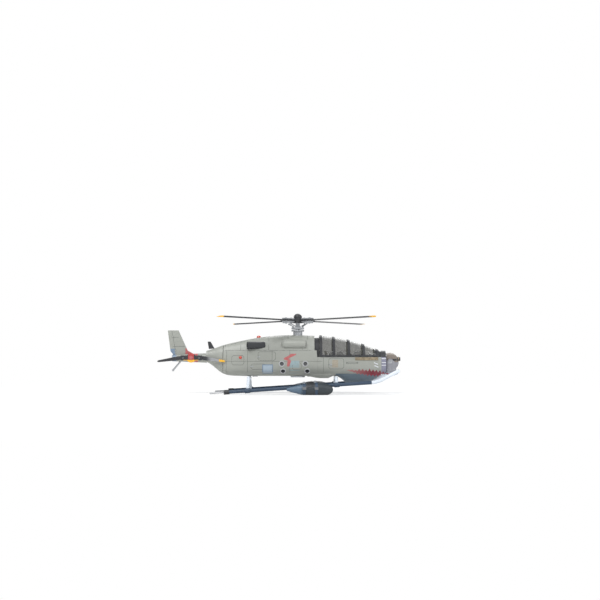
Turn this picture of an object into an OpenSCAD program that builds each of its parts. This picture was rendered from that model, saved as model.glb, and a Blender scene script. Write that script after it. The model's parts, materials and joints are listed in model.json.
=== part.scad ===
// Light scout helicopter, a small die-cast scale model that stands on long skids.
// +X is the nose, +Y the port side and +Z up. The ground is z = 0, and x = 0 is the
// middle of the overall length, from the nose turret's muzzle to the tail rotor's tip.

/* [Overall] */
// Length from the turret's muzzle to the rear tip of the tail rotor
model_len = 110; // [98:1:132]
// Height of the belly above the ground
belly_z = 8; // [7.2:0.1:9.6]

/* [Fuselage] */
// Length of the fuselage shells, behind the nose collar
body_len = 79.4; // [70:0.2:86]
// Height from the belly to the top of the cowling
body_h = 18.6; // [15.6:0.2:22.4]
// Width of the fuselage at the mast
body_w = 13.2; // [12.4:0.2:16]
// Thickness of the cast shells
wall = 0.9; // [0.7:0.05:1.1]

/* [Main rotor] */
// Radius of the main rotor
rotor_r = 45; // [38:0.5:46]
// Chord of a main blade
blade_chord = 4; // [3.4:0.1:4.8]
// Radius of the main rotor's shaft
shaft_r = 1; // [0.8:0.05:1.2]

/* [Tail rotor] */
// Radius of the tail rotor
tail_rotor_r = 15.2; // [12.6:0.1:16.2]
// Radius of the tail rotor's shaft
tail_shaft_r = 0.7; // [0.58:0.02:0.84]

/* [Turret] */
// Radius of the sensor ball in the nose
ball_r = 4.2; // [3.7:0.1:4.4]
// Radius of the turret's king pin
king_r = 0.8; // [0.66:0.02:0.96]

/* [Skids] */
// Radius of a skid tube
skid_r = 0.8; // [0.66:0.02:0.96]
// Distance between the centres of the two skids
skid_track = 20; // [17:0.5:24]

/* [Fits] */
// Radial gap between a turning shaft and its bearing
running_gap = 0.06; // [0.04:0.01:0.09]
// Free gap between a moving piece and its neighbours
free_gap = 0.3; // [0.25:0.05:0.4]
// Radius of the stand's rod in the belly socket
stand_rod_r = 1.5; // [1.25:0.05:1.8]
// Depth of the belly socket
stand_depth = 5; // [4:0.1:5.6]

/* [Hidden] */
$fn = 48;

// Paint and metal colours
body_green = "#a3a79c";
slate = "#5f6b72";
navy = "#3b444c";
lavender = "#8f90a3";
warm_grey = "#847f7b";
bronze = "#8d8172";
smoked = "#3c3d3f";
near_black = "#232426";
tip_grey = "#b1b1b3";
steel = "#b8babd";
seat_brown = "#4b3f36";
white = "#e6e6e2";
lamp_red = "#b9452f";

// Places along the model
muzzle = ball_r + 0.7;
turret_x = model_len / 2 - muzzle;
nose_x = turret_x - 2;
collar_len = 2.2;
plug_len = 1.3;
shell_x = nose_x - collar_len;
mast_t = 0.475;
mast_x = shell_x - mast_t * body_len;
shell_end_x = shell_x - body_len;
tail_x = tail_rotor_r - model_len / 2;
tail_z = belly_z + 0.44 * body_h;

// Heights on the fuselage
turret_z = belly_z + 0.344 * body_h;
sill_z = belly_z + 0.46 * body_h;
cowl_z = belly_z + 0.62 * body_h;
keel_z = belly_z + 0.06 * body_h;
floor_z = belly_z + 0.2 * body_h;
deck_z = belly_z + 0.3 * body_h;
deck_th = 1;
tub_top = keel_z - 0.35 * (keel_z - belly_z);
cockpit_end = 0.365;
tub_end = 0.875;
cowl_start = cockpit_end + 0.015;
cowl_end = 0.9;
glass_end = cockpit_end - 0.012;
edge_step = 0.003;
glass_th = 0.6;
trim_th = 0.25;
// Free gap under trim that is laid on a curved skin
trim_gap = 0.04;
hoop_ts = [0.02, 0.1, 0.185, 0.27, 0.343];
hoop_w = 0.014;
strip_h = 1.45;
floor_th = 0.8;

// The main rotor, from the bearing up
bearing_r = shaft_r + 1.1;
bearing_top = belly_z + body_h + 1.6;
plate_r = 2.9;
plate_th = 0.8;
turning_z = bearing_top + plate_th + free_gap;
hub_z = turning_z + plate_th + 2.8;
arm_th = 0.8;
arm_w = 2.2;
arm_end = 5.2;
root_start = 5.6;
grip_start = 3.2;
grip_end = 9;
grip_th = 0.5;
bolt_r = 0.4;
bolt_xs = [4.2, 7.6];
blade_turns = [45, 135, 225, 315];
link_ball = 0.42;

// The tail rotor, from the boom outwards
boom_r = 2.2;
boom_tip_r = 0.7 * boom_r;
boom_end_x = tail_x - 9.4;
socket_r = 1.2;
gear_y = 3.8;
tail_hub_y = gear_y + free_gap;
tail_hub_len = 1.8;
tail_hub_r = 2.1;
tail_mid_y = tail_hub_y + tail_hub_len / 2;
cuff_len = 4.8;
tail_chord = 1.8;
tail_droop = 8.5;
tail_blade_th = 0.6;

// The turret
shelf_th = 1.3;
base_th = 0.5;
shelf_top = turret_z - ball_r - 0.2 - base_th;
cheek_in = 0.66 * ball_r;
cheek_out = 0.92 * ball_r;
trunnion_r = 0.6;

// The skids: a slim pin, a collar, a straight tube that rises gently to the nose, and a toe
heel_r = skid_r + 0.2;
heel_x = 30.6 - model_len / 2;
heel_len = 2.4;
heel_wall = 0.4;
pin_r = 0.5 * skid_r;
pin_len = 6;
skid_rise = 3.75;
skid_straight = model_len / 2 - 14 - heel_x;
toe_bend_r = 12;
toe_turn = 24;
toe_len = 8;
front_tube_x = hull_x(0.256927);
rear_tube_x = hull_x(0.754408);
cross_r = 0.7;
clamp_r = skid_r + 0.3;
clamp_len = 2.4;

// The seats, and how far each control stick stands in front of its seat
seat_ts = [0.155, 0.3];
seat_d = 4;
stick_reach = [0.761, 1.7932];

// The float pods, outboard of the skids
pod_len = 20.3;
pod_nose_x = mast_x + 15.5;
pod_h = 2.9;
pod_w = 2.3;
pod_z = 2.3;
pod_y = skid_track / 2 + skid_r + pod_w;
pod_straps = [0.36, 0.62];
strap_w = 1.2;
strap_th = 0.3;

screw_r = 0.6;
screw_head_r = 1.2;
screw_ts = [0.405, 0.72];
boss_r = 1.7;
socket_wall = 1.1;
port_r = 1.3;
rim_w = 0.35;
rim_proud = 0.25;
port_depth = 1;
// Each port's place along the hull and its height as a part of the fuselage's height
ports = [[0.565, 0.3], [0.558, 0.125], [0.432, 0.3], [0.421, 0.125]];

// Fuselage sections at even steps from the nose to the tail: belly and roof as parts of
// the fuselage's height, then width as a part of its full width
sections = [
    [0.04, 0.62, 0.70],
    [0.00, 0.77, 0.83],
    [0.00, 0.89, 0.92],
    [0.00, 0.965, 0.98],
    [0.00, 0.99, 1.00],
    [0.00, 1.00, 1.00],
    [0.00, 0.985, 0.97],
    [0.00, 0.94, 0.90],
    [0.00, 0.86, 0.80],
    [0.05, 0.76, 0.63],
    [0.34, 0.62, 0.37],
];
squareness = 2.6;

// ---- Curves ----

function section(i) = sections[min(max(i, 0), len(sections) - 1)];

// A Catmull-Rom curve through b and c
function curve(a, b, c, d, u) =
    0.5 * (2 * b + (c - a) * u + (2 * a - 5 * b + 4 * c - d) * u * u
    + (3 * b - a - 3 * c + d) * u * u * u);

// The section at t, which runs from 0 at the nose to 1 at the tail
function station(t) =
    let (s = t * (len(sections) - 1), i = min(floor(s), len(sections) - 2))
    curve(section(i - 1), section(i), section(i + 1), section(i + 2), s - i);

function hull_x(t) = shell_x - t * body_len;
function belly(t) = belly_z + body_h * station(t)[0];
function roof(t) = belly_z + body_h * station(t)[1];
function half_w(t) = body_w / 2 * station(t)[2];
function waist(t) = belly(t) + 0.36 * (roof(t) - belly(t));
function signed_pow(v, e) = sign(v) * pow(abs(v), e);

// A point on the hull at t, at an angle from port, moved inwards by inset
function skin(t, a, inset) =
    let (
        w = half_w(t) - inset,
        h = (sin(a) > 0 ? roof(t) - waist(t) : waist(t) - belly(t)) - inset
    )
    [
        hull_x(t),
        w * signed_pow(cos(a), 2 / squareness),
        waist(t) + h * signed_pow(sin(a), 2 / squareness)
    ];

// The angle at which the hull reaches height z
function angle_at(t, z) =
    let (
        h = z > waist(t) ? roof(t) - waist(t) : waist(t) - belly(t),
        q = min(max((z - waist(t)) / h, -1), 1)
    )
    asin(signed_pow(q, squareness / 2));

// Half the hull's width at height z
function y_at(t, z, inset) =
    let (
        h = (z > waist(t) ? roof(t) - waist(t) : waist(t) - belly(t)) - inset,
        q = min(abs(z - waist(t)) / h, 1)
    )
    (half_w(t) - inset) * pow(1 - pow(q, squareness), 1 / squareness);

// Even steps from a to b
function steps(a, b, n) = [for (i = [0 : n]) a + (b - a) * i / n];

// ---- Building blocks ----

// A solid skinned over rings that all have the same even number of points. Each end is
// closed by a strip between the ring's first half and its second half.
module loft(rings) {
    n = len(rings[0]);
    m = len(rings);
    last = (m - 1) * n;
    points = [for (r = rings) for (p = r) p];
    sides = [
        for (i = [0 : m - 2]) for (j = [0 : n - 1])
            let (k = (j + 1) % n)
            each [
                [i * n + j, i * n + k, (i + 1) * n + k],
                [i * n + j, (i + 1) * n + k, (i + 1) * n + j],
            ]
    ];
    ends = [
        for (j = [0 : n / 2 - 2])
            let (k = n - 1 - j)
            each concat(
                [[j + 1, j, k], [last + j, last + j + 1, last + k]],
                k - 1 == j + 1 ? [] : [[j + 1, k, k - 1], [last + j + 1, last + k - 1, last + k]]
            )
    ];
    polyhedron(points, concat(sides, ends));
}

// A strip of hull between two angles, which are functions of t, and two insets
module hull_strip(ts, low, high, outer, inner, n) {
    loft([
        for (t = ts) concat(
            [for (a = steps(low(t), high(t), n)) skin(t, a, outer)],
            [for (a = steps(high(t), low(t), n)) skin(t, a, inner)]
        )
    ]);
}

// The whole hull as a closed solid, to trim what sits on it
module hull_core(t0, t1, inset = -0.04) {
    loft([for (t = steps(t0, t1, 8)) [for (i = [0 : 31]) skin(t, i * 360 / 32, inset)]]);
}

// A slice of the hull's section between two heights
module section_slab(t, x, thickness, inset, low, high) {
    a0 = low > belly(t) ? angle_at(t, low) : -90;
    a1 = high < roof(t) ? angle_at(t, high) : 90;
    right = [for (a = steps(a0, a1, 20)) skin(t, a, inset)];
    outline = concat(
        [for (p = right) [p[1], p[2]]],
        [for (i = [len(right) - 1 : -1 : 0]) if (right[i][1] > 0.01) [-right[i][1], right[i][2]]]
    );
    translate([x, 0, 0])
        rotate([90, 0, 90])
            linear_extrude(thickness)
                polygon(outline);
}

// A flat floor that reaches the inside of the shells
module floor_plate(t0, t1, z, thickness) {
    ts = steps(t0, t1, 12);
    edge = [for (t = ts) [hull_x(t), min(y_at(t, z, wall), y_at(t, z + thickness, wall))]];
    translate([0, 0, z])
        linear_extrude(thickness)
            polygon(concat(edge, [for (i = [len(edge) - 1 : -1 : 0]) [edge[i][0], -edge[i][1]]]));
}

// A round bar between two points
module bar(a, b, r) {
    d = b - a;
    length = norm(d);
    translate(a)
        rotate([0, acos(d[2] / length), atan2(d[1], d[0])])
            cylinder(h = length, r = r, $fn = 24);
}

module ball(p, r) {
    translate(p)
        sphere(r, $fn = 24);
}

// A cylinder along Y that grows towards the side that s names
module side_cylinder(x, y, z, length, r, s) {
    translate([x, s * y, z])
        rotate([-90 * s, 0, 0])
            cylinder(h = length, r = r);
}

module both_sides() {
    children();
    mirror([0, 1, 0])
        children();
}

// ---- Fuselage ----

// The top edge of a side shell: the sill, then the cowling's edge, then the spine
function shell_top(t) =
    t <= cockpit_end ? angle_at(t, sill_z)
    : t > cowl_end ? 90
    : angle_at(t, cowl_z);

// The bottom edge: along the belly tub, then closed under the tail
function shell_bottom(t) = t > tub_end ? -90 : angle_at(t, keel_z);

module side_shell() {
    hull_strip(
        concat(
            steps(0, cockpit_end, 15),
            steps(cockpit_end + edge_step, tub_end, 20),
            steps(tub_end + edge_step, cowl_end, 2),
            steps(cowl_end + edge_step, 1, 9)
        ),
        function(t) shell_bottom(t),
        function(t) shell_top(t),
        0, wall, 9
    );
}

module fuselage_left() {
    color(body_green)
        side_shell();
}

module fuselage_right() {
    color(body_green)
        mirror([0, 1, 0])
            side_shell();
}

// How far the chin fairing hangs below the belly
function ramp(v, a, b) =
    let (u = min(max((v - a) / (b - a), 0), 1))
    u * u * (3 - 2 * u);
function chin_drop(t) = 0.175 * body_h * ramp(t, -0.03, 0.08) * (1 - ramp(t, 0.19, 0.25));

// How far the belly hangs lower behind the front cross tube
function keel_drop(t) = 0.055 * body_h * ramp(t, 0.27, 0.3) * (1 - ramp(t, 0.35, 0.43));

module tub_loft() {
    loft([
        for (t = steps(0, tub_end, 35))
            let (
                y = y_at(t, keel_z, 0),
                depth = keel_z - belly(t) + chin_drop(t) + keel_drop(t)
            )
            concat(
                [for (a = steps(180, 360, 14)) [
                    hull_x(t),
                    y * signed_pow(cos(a), 2 / squareness),
                    keel_z + depth * signed_pow(sin(a), 2 / squareness)
                ]],
                [for (a = steps(0, -180, 14)) [
                    hull_x(t),
                    (y - wall * 0.6) * signed_pow(cos(a), 2 / squareness),
                    keel_z + (keel_z - tub_top) * signed_pow(sin(a), 2 / squareness)
                ]]
            )
    ]);
}

module belly_tub() {
    color(slate)
        difference() {
            tub_loft();
            translate([mast_x, 0, 0])
                cylinder(h = 3 * belly_z, r = stand_rod_r + socket_wall);
            for (t = screw_ts)
                translate([hull_x(t), 0, 0]) {
                    cylinder(h = 3 * belly_z, r = screw_r);
                    cylinder(h = belly_z + 0.3, r = screw_head_r);
                }
        }
}

module engine_cowling() {
    color(body_green)
        difference() {
            hull_strip(
                steps(cowl_start, cowl_end, 26),
                function(t) angle_at(t, cowl_z),
                function(t) 180 - angle_at(t, cowl_z),
                0, wall, 16
            );
            translate([mast_x, 0, 0])
                cylinder(h = 3 * bearing_top, r = bearing_r);
        }
}

module turret_cavity() {
    translate([turret_x, 0, turret_z])
        sphere(ball_r + free_gap, $fn = 64);
    translate([turret_x, 0, shelf_top])
        cylinder(h = turret_z + trunnion_r + 1.4 - shelf_top, r = cheek_out + 0.35, $fn = 64);
}

module nose_slab(low, high) {
    difference() {
        union() {
            section_slab(0, shell_x, collar_len, 0.05, low, high);
            section_slab(0, shell_x - plug_len, plug_len, wall, low, high);
        }
        turret_cavity();
    }
}

module nose_collar() {
    color(lavender)
        nose_slab(0, sill_z);
}

module windscreen_surround() {
    color(near_black)
        nose_slab(sill_z, 4 * sill_z);
}

// A tongue under the ball that carries the king pin
module turret_bracket() {
    reach = cheek_out;
    color(body_green)
        difference() {
            translate([0, reach, 0])
                rotate([90, 0, 0])
                    linear_extrude(2 * reach)
                        polygon([
                            [nose_x, belly(0) + 0.1],
                            [nose_x, shelf_top],
                            [turret_x + reach, shelf_top],
                            [turret_x + reach, shelf_top - 0.5],
                            [turret_x + 0.4 * reach, shelf_top - shelf_th],
                        ]);
            difference() {
                translate([turret_x, -2 * reach, 0])
                    cube([2 * reach, 4 * reach, 3 * belly_z]);
                translate([turret_x, 0, 0])
                    cylinder(h = 3 * belly_z, r = reach);
            }
            translate([turret_x, 0, 0])
                cylinder(h = 3 * belly_z, r = king_r + running_gap);
        }
}

// ---- Cockpit ----

module canopy_glass() {
    color(smoked, 0.8)
        hull_strip(
            steps(0, glass_end, 20),
            function(t) angle_at(t, sill_z),
            function(t) 180 - angle_at(t, sill_z),
            0, glass_th, 16
        );
}

module canopy_hoop(t) {
    hull_strip(
        [t - hoop_w / 2, t + hoop_w / 2],
        function(t) angle_at(t, sill_z),
        function(t) 180 - angle_at(t, sill_z),
        -trim_th - trim_gap, -trim_gap, 16
    );
}

module canopy_frame() {
    color(near_black) {
        for (t = hoop_ts)
            canopy_hoop(t);
        both_sides()
            hull_strip(
                steps(hoop_ts[0], hoop_ts[len(hoop_ts) - 1], 14),
                function(t) angle_at(t, sill_z + 0.1),
                function(t) angle_at(t, sill_z + 0.8),
                -trim_th - 2 * trim_gap, -2 * trim_gap, 3
            );
    }
}

module sill_strips() {
    color(bronze)
        both_sides()
            hull_strip(
                steps(0.018, 0.15, 8),
                function(t) angle_at(t, sill_z - strip_h),
                function(t) angle_at(t, sill_z - 0.15),
                -trim_th, 0, 4
            );
}

module cockpit_floor() {
    color(near_black)
        floor_plate(0.03, cockpit_end - 0.03, floor_z, floor_th);
}

module seat(x, lift) {
    seat_w = 4.4;
    pad = 0.9;
    back_h = 5.2;
    recline = 12;
    translate([x, -seat_w / 2, floor_z + floor_th]) {
        cube([seat_d, seat_w, lift + pad]);
        translate([0.2, 0, lift + 0.6])
            rotate([0, -recline, 0])
                translate([-pad, 0, 0])
                    cube([pad, seat_w, back_h]);
    }
}

module crew_seats() {
    color(seat_brown) {
        seat(hull_x(seat_ts[0]), 0);
        seat(hull_x(seat_ts[1]), 1.4);
    }
}

module instrument_panels() {
    color(near_black)
        for (p = [[0.075, 3.4, 3.3], [0.205, 4.8, 3.9]])
            translate([hull_x(p[0]), -p[2], floor_z + floor_th])
                cube([1.4, 2 * p[2], p[1]]);
}

module control_sticks() {
    stick_h = 2.4;
    color(near_black)
        for (i = [0, 1])
            translate([hull_x(seat_ts[i]) + seat_d + stick_reach[i], 0, floor_z + floor_th]) {
                cylinder(h = stick_h, r = 0.25, $fn = 16);
                translate([0, 0, stick_h])
                    sphere(0.45, $fn = 20);
            }
}

// A bulkhead that is tucked under the canopy's rear edge and the cowling's front edge
module firewall() {
    tuck = 0.5;
    back = hull_x(cowl_start) - tuck;
    thickness = hull_x(glass_end) + tuck - back;
    color(near_black)
        section_slab(cockpit_end, back, thickness, wall + 0.05, deck_z + deck_th, 4 * cowl_z);
}

// ---- Inner frame and fasteners ----

module main_frame() {
    color(steel)
        difference() {
            union() {
                floor_plate(cockpit_end - 0.007, 0.88, deck_z, deck_th);
                for (t = screw_ts)
                    translate([hull_x(t), 0, tub_top + 2 * trim_gap])
                        cylinder(h = deck_z - tub_top - trim_gap, r = boss_r);
            }
            for (t = screw_ts)
                translate([hull_x(t), 0, 0])
                    cylinder(h = 3 * deck_z, r = screw_r);
            translate([mast_x, 0, 0])
                cylinder(h = 3 * bearing_top, r = shaft_r + 0.5);
        }
}

module assembly_screws() {
    color(steel)
        for (t = screw_ts)
            translate([hull_x(t), 0, belly_z - 0.3]) {
                difference() {
                    cylinder(h = 0.6, r = screw_head_r);
                    translate([-screw_head_r, -0.15, -0.1])
                        cube([2 * screw_head_r, 0.3, 0.35]);
                }
                cylinder(h = deck_z + deck_th - belly_z, r = screw_r);
            }
}

// The bush in the belly that takes a display stand's rod
module stand_socket() {
    color(steel)
        translate([mast_x, 0, 0])
            difference() {
                union() {
                    translate([0, 0, belly_z - 0.6])
                        cylinder(h = deck_z - belly_z + 0.6, r = stand_rod_r + socket_wall);
                    translate([0, 0, belly_z - 0.6])
                        cylinder(h = 0.6, r = stand_rod_r + socket_wall + 0.7);
                }
                translate([0, 0, belly_z - 1])
                    cylinder(h = stand_depth + 0.4, r = stand_rod_r);
            }
}

// ---- Hull fittings ----

module air_intake(s) {
    r = 2.1;
    lip = 0.45;
    length = 9;
    mouth = 3;
    color(body_green)
        difference() {
            translate([mast_x - 5.5, s * 0.78 * body_w / 2, belly_z + 0.77 * body_h])
                rotate([0, 90, 0])
                    difference() {
                        union() {
                            cylinder(h = length, r = r);
                            sphere(r);
                        }
                        translate([0, 0, length - mouth])
                            cylinder(h = mouth + 1, r = r - lip);
                    }
            hull_core(0.36, 0.62);
        }
}

module air_intake_left() {
    air_intake(1);
}

module air_intake_right() {
    air_intake(-1);
}

module exhaust(s) {
    r = 1.7;
    rim = 0.4;
    length = 8;
    bore = 5;
    splay = 14;
    color(near_black)
        difference() {
            translate([mast_x - 15, s * 0.62 * body_w / 2, belly_z + 0.74 * body_h])
                rotate([0, -90, -splay * s])
                    difference() {
                        cylinder(h = length, r = r);
                        translate([0, 0, length - bore])
                            cylinder(h = bore + 1, r = r - rim);
                    }
            hull_core(0.6, 0.86);
        }
}

module exhaust_left() {
    exhaust(1);
}

module exhaust_right() {
    exhaust(-1);
}

// How far the hull's side leans outwards at t and height z
function lean(t, z) = atan((y_at(t, z + 0.3, 0) - y_at(t, z - 0.3, 0)) / 0.6);

// Moves to every port, with +Z square to the hull and z = 0 below its skin
module at_ports() {
    for (p = ports, s = [-1, 1]) {
        z = belly_z + body_h * p[1];
        translate([hull_x(p[0]), s * y_at(p[0], z, 0), z])
            rotate([-(90 + lean(p[0], z)) * s, 0, 0])
                translate([0, 0, -port_depth])
                    children();
    }
}

module port_rims() {
    color(white)
        difference() {
            at_ports()
                difference() {
                    cylinder(h = port_depth + rim_proud, r = port_r);
                    translate([0, 0, -1])
                        cylinder(h = port_depth + 2, r = port_r - rim_w);
                }
            hull_core(0.38, 0.6);
        }
}

module port_glasses() {
    color(near_black)
        difference() {
            at_ports()
                cylinder(h = port_depth + rim_proud / 2, r = port_r - rim_w);
            hull_core(0.38, 0.6);
        }
}

module antenna() {
    color(near_black)
        translate([hull_x(0.955), 0.3, roof(0.955) - 0.1])
            rotate([90, 0, 0])
                linear_extrude(0.6)
                    polygon([[0, 0], [-2.6, -0.2], [-3.2, 3.2], [-1.9, 3.2]]);
}

// Port and starboard lamps on the hull, and a beacon on the cowling
module nav_lights() {
    t = 0.8;
    color(lamp_red)
        difference() {
            union() {
                for (s = [-1, 1])
                    translate([hull_x(t), s * y_at(t, belly_z + 0.45 * body_h, 0), belly_z + 0.45 * body_h])
                        sphere(0.7, $fn = 32);
                translate([hull_x(0.7), 0, roof(0.7)])
                    sphere(1, $fn = 32);
            }
            hull_core(0.66, 0.84);
        }
}

// ---- Main rotor ----

module mast_bearing() {
    color(steel)
        translate([mast_x, 0, 0])
            difference() {
                translate([0, 0, deck_z + deck_th])
                    cylinder(h = bearing_top - deck_z - deck_th, r = bearing_r);
                cylinder(h = 3 * bearing_top, r = shaft_r + running_gap);
            }
}

module swash_ring(z, bore_r) {
    translate([mast_x, 0, z])
        difference() {
            cylinder(h = plate_th, r = plate_r);
            translate([0, 0, -1])
                cylinder(h = plate_th + 2, r = bore_r);
        }
}

module swashplate_fixed() {
    color(steel)
        swash_ring(bearing_top, shaft_r + free_gap);
}

module swashplate_turning() {
    color(steel)
        swash_ring(turning_z, shaft_r);
}

module rotor_shaft() {
    color(steel)
        translate([mast_x, 0, deck_z + 0.1])
            cylinder(h = hub_z + arm_th + 1 - deck_z - 0.1, r = shaft_r);
}

module around_mast() {
    for (a = blade_turns)
        translate([mast_x, 0, hub_z])
            rotate([0, 0, a])
                children();
}

module grip_holes() {
    for (x = bolt_xs)
        translate([x, 0, -5])
            cylinder(h = 10, r = bolt_r, $fn = 24);
}

module rotor_hub() {
    color(near_black)
        difference() {
            union() {
                translate([mast_x, 0, hub_z - 0.8])
                    cylinder(h = arm_th + 1.4, r = 2.5);
                around_mast()
                    translate([0, -arm_w / 2, 0])
                        cube([arm_end, arm_w, arm_th]);
            }
            translate([mast_x, 0, 0])
                cylinder(h = 3 * hub_z, r = shaft_r);
            around_mast()
                grip_holes();
        }
}

module grip_plate(z) {
    difference() {
        translate([grip_start, -arm_w / 2, z])
            cube([grip_end - grip_start, arm_w, grip_th]);
        translate([0, 0, -5])
            cylinder(h = 10, r = 2.6);
    }
}

// Two plates and two bolts hold each blade to its arm
module blade_grips() {
    color(steel)
        around_mast() {
            grip_plate(arm_th);
            grip_plate(-grip_th);
            for (x = bolt_xs)
                translate([x, 0, -grip_th - 0.25])
                    cylinder(h = arm_th + 2 * grip_th + 0.5, r = bolt_r, $fn = 24);
        }
}

// Half the thickness of a blade at a part of its chord
function blade_half(u) = 0.5 * arm_th * 2.6 * (sqrt(u) - u) * (1.15 - 0.45 * u) + 0.06;

module blade_profile(chord) {
    us = [0, 0.03, 0.1, 0.22, 0.38, 0.56, 0.76, 1];
    polygon(concat(
        [for (u = us) [chord * (u - 0.3), blade_half(u)]],
        [for (i = [len(us) - 1 : -1 : 0]) [chord * (us[i] - 0.3), -blade_half(us[i])]]
    ));
}

module rotor_blades() {
    color(near_black)
        around_mast()
            difference() {
                union() {
                    translate([root_start, -arm_w / 2, 0])
                        cube([grip_end + 1 - root_start, arm_w, arm_th]);
                    translate([grip_end + 0.5, 0, arm_th / 2])
                        rotate([90, 0, 90])
                            linear_extrude(rotor_r - grip_end - 0.5)
                                blade_profile(-blade_chord);
                }
                grip_holes();
            }
}

module pitch_links() {
    color(steel)
        for (a = blade_turns)
            translate([mast_x, 0, 0])
                rotate([0, 0, a]) {
                    foot = [2.3, 0.9, turning_z + plate_th + link_ball + 0.02];
                    head = [5.2, 0.6, hub_z - grip_th - 0.65];
                    bar(foot, head, 0.25);
                    ball(foot, link_ball);
                    ball(head, link_ball);
                }
}

module rotor_cap() {
    color(near_black)
        translate([mast_x, 0, hub_z + arm_th + 0.6])
            difference() {
                union() {
                    cylinder(h = 0.8, r = 1.9);
                    translate([0, 0, 0.8])
                        intersection() {
                            translate([0, 0, -0.6])
                                sphere(2);
                            translate([-3, -3, 0])
                                cube(6);
                        }
                }
                translate([0, 0, -1])
                    cylinder(h = 1.4, r = shaft_r);
            }
}

// ---- Tail ----

module boom_cone(grow = 0) {
    translate([shell_end_x, 0, tail_z])
        rotate([0, -90, 0])
            cylinder(h = shell_end_x - boom_end_x, r1 = boom_r + grow, r2 = boom_tip_r + grow);
}

module tail_boom() {
    color(body_green)
        difference() {
            union() {
                boom_cone();
                translate([shell_end_x, 0, tail_z])
                    rotate([0, -90, 0])
                        translate([0, 0, -3])
                            cylinder(h = 3.1, r = socket_r);
            }
            translate([tail_x, 0, tail_z])
                rotate([90, 0, 0])
                    cylinder(h = 10, r = socket_r);
        }
}

module tail_fin() {
    root_z = 1.2;
    color(body_green)
        difference() {
            translate([tail_x, 0.6, tail_z])
                rotate([90, 0, 0])
                    linear_extrude(1.2)
                        polygon([
                            [1.5, root_z],
                            [-2.5, 3.4],
                            [-6.8, 12.6],
                            [-11.6, 12.6],
                            [-10.2, 3],
                            [-8.6, root_z],
                        ]);
            boom_cone();
        }
}

module tailplane() {
    color(body_green)
        translate([tail_x, 0.6, tail_z + 4.4])
            linear_extrude(0.8)
                polygon([[-3.9, 0], [-5.4, 10.5], [-9.4, 10.5], [-9.4, 0]]);
}

module tail_gearbox() {
    color(steel)
        difference() {
            union() {
                side_cylinder(tail_x, 0.3, tail_z, gear_y - 0.3, socket_r, -1);
                side_cylinder(tail_x, boom_r, tail_z, gear_y - boom_r, 1.6, -1);
            }
            side_cylinder(tail_x, 0, tail_z, 9, tail_shaft_r + running_gap, -1);
        }
}

module tail_skid() {
    foot = [tail_x - 9, 0, tail_z - 5.6];
    color(steel)
        difference() {
            union() {
                bar([tail_x - 5.6, 0, tail_z - 0.7 * boom_r], foot, 0.4);
                ball(foot, 0.55);
            }
            boom_cone(0.02);
        }
}

module tail_shaft() {
    color(steel)
        side_cylinder(tail_x, 0.45, tail_z, tail_hub_y + tail_hub_len - 0.45, tail_shaft_r, -1);
}

module tail_hub() {
    color(near_black)
        difference() {
            union() {
                side_cylinder(tail_x, tail_hub_y, tail_z, tail_hub_len, tail_hub_r, -1);
                translate([tail_x - cuff_len, -tail_hub_y - tail_hub_len + 0.25, tail_z - 1.1])
                    cube([2 * cuff_len, tail_hub_len - 0.5, 2.2]);
            }
            side_cylinder(tail_x, 0, tail_z, 9, tail_shaft_r, -1);
            translate([tail_x - 9, -tail_mid_y - tail_blade_th / 2, tail_z - 0.8])
                cube([18, tail_blade_th, 1.6]);
        }
}

// A blade that leaves its cuff level, then droops and narrows to its tip
module tail_blade() {
    root = 2.2;
    flare = cuff_len + 1.4;
    shoulder = tail_rotor_r - 0.6;
    half = tail_chord / 2;
    tip_half = 0.5 * half;
    rotate([90, 0, 0]) {
        translate([root, -0.8, 0])
            cube([cuff_len + 1 - root, 1.6, tail_blade_th]);
        linear_extrude(tail_blade_th)
            polygon([
                [cuff_len, -0.8],
                [flare, drooped(flare) - half],
                [shoulder, drooped(shoulder) - tip_half],
                [tail_rotor_r, drooped(tail_rotor_r) - 0.6 * tip_half],
                [tail_rotor_r, drooped(tail_rotor_r) + 0.6 * tip_half],
                [shoulder, drooped(shoulder) + tip_half],
                [flare, drooped(flare) + half],
                [cuff_len, 0.8],
            ]);
    }
}

// Height of a tail blade's middle at x, above the hub's axis
function drooped(x) = (cuff_len - x) * tan(tail_droop);

module tail_blades() {
    color(near_black)
        translate([tail_x, -tail_mid_y + tail_blade_th / 2, tail_z]) {
            tail_blade();
            mirror([1, 0, 0])
                tail_blade();
        }
}

// ---- Turret ----

module cheek_outline() {
    half = 0.64 * ball_r;
    shoulder = 0.14 * ball_r;
    boss = 1.4;
    polygon([
        [-half, shelf_top - turret_z],
        [half, shelf_top - turret_z],
        [half, -shoulder],
        [boss, shoulder],
        [-boss, shoulder],
        [-half, -shoulder],
    ]);
    circle(boss);
}

module turret_yoke() {
    color(lavender)
        difference() {
            union() {
                intersection() {
                    translate([turret_x, 0, turret_z])
                        rotate([90, 0, 0])
                            linear_extrude(3 * ball_r, center = true)
                                cheek_outline();
                    translate([turret_x, 0, shelf_top])
                        cylinder(h = 2 * ball_r, r = cheek_out, $fn = 64);
                    union() {
                        for (y = [cheek_in, -2 * cheek_in])
                            translate([turret_x - ball_r, y, 0])
                                cube([2 * ball_r, cheek_in, 40]);
                    }
                }
                translate([turret_x, 0, shelf_top])
                    cylinder(h = base_th, r = cheek_out, $fn = 64);
                translate([turret_x, 0, shelf_top - shelf_th + 0.1])
                    cylinder(h = shelf_th, r = king_r);
            }
            translate([turret_x, 2 * ball_r, turret_z])
                rotate([90, 0, 0])
                    cylinder(h = 4 * ball_r, r = trunnion_r + running_gap);
        }
}

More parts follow.
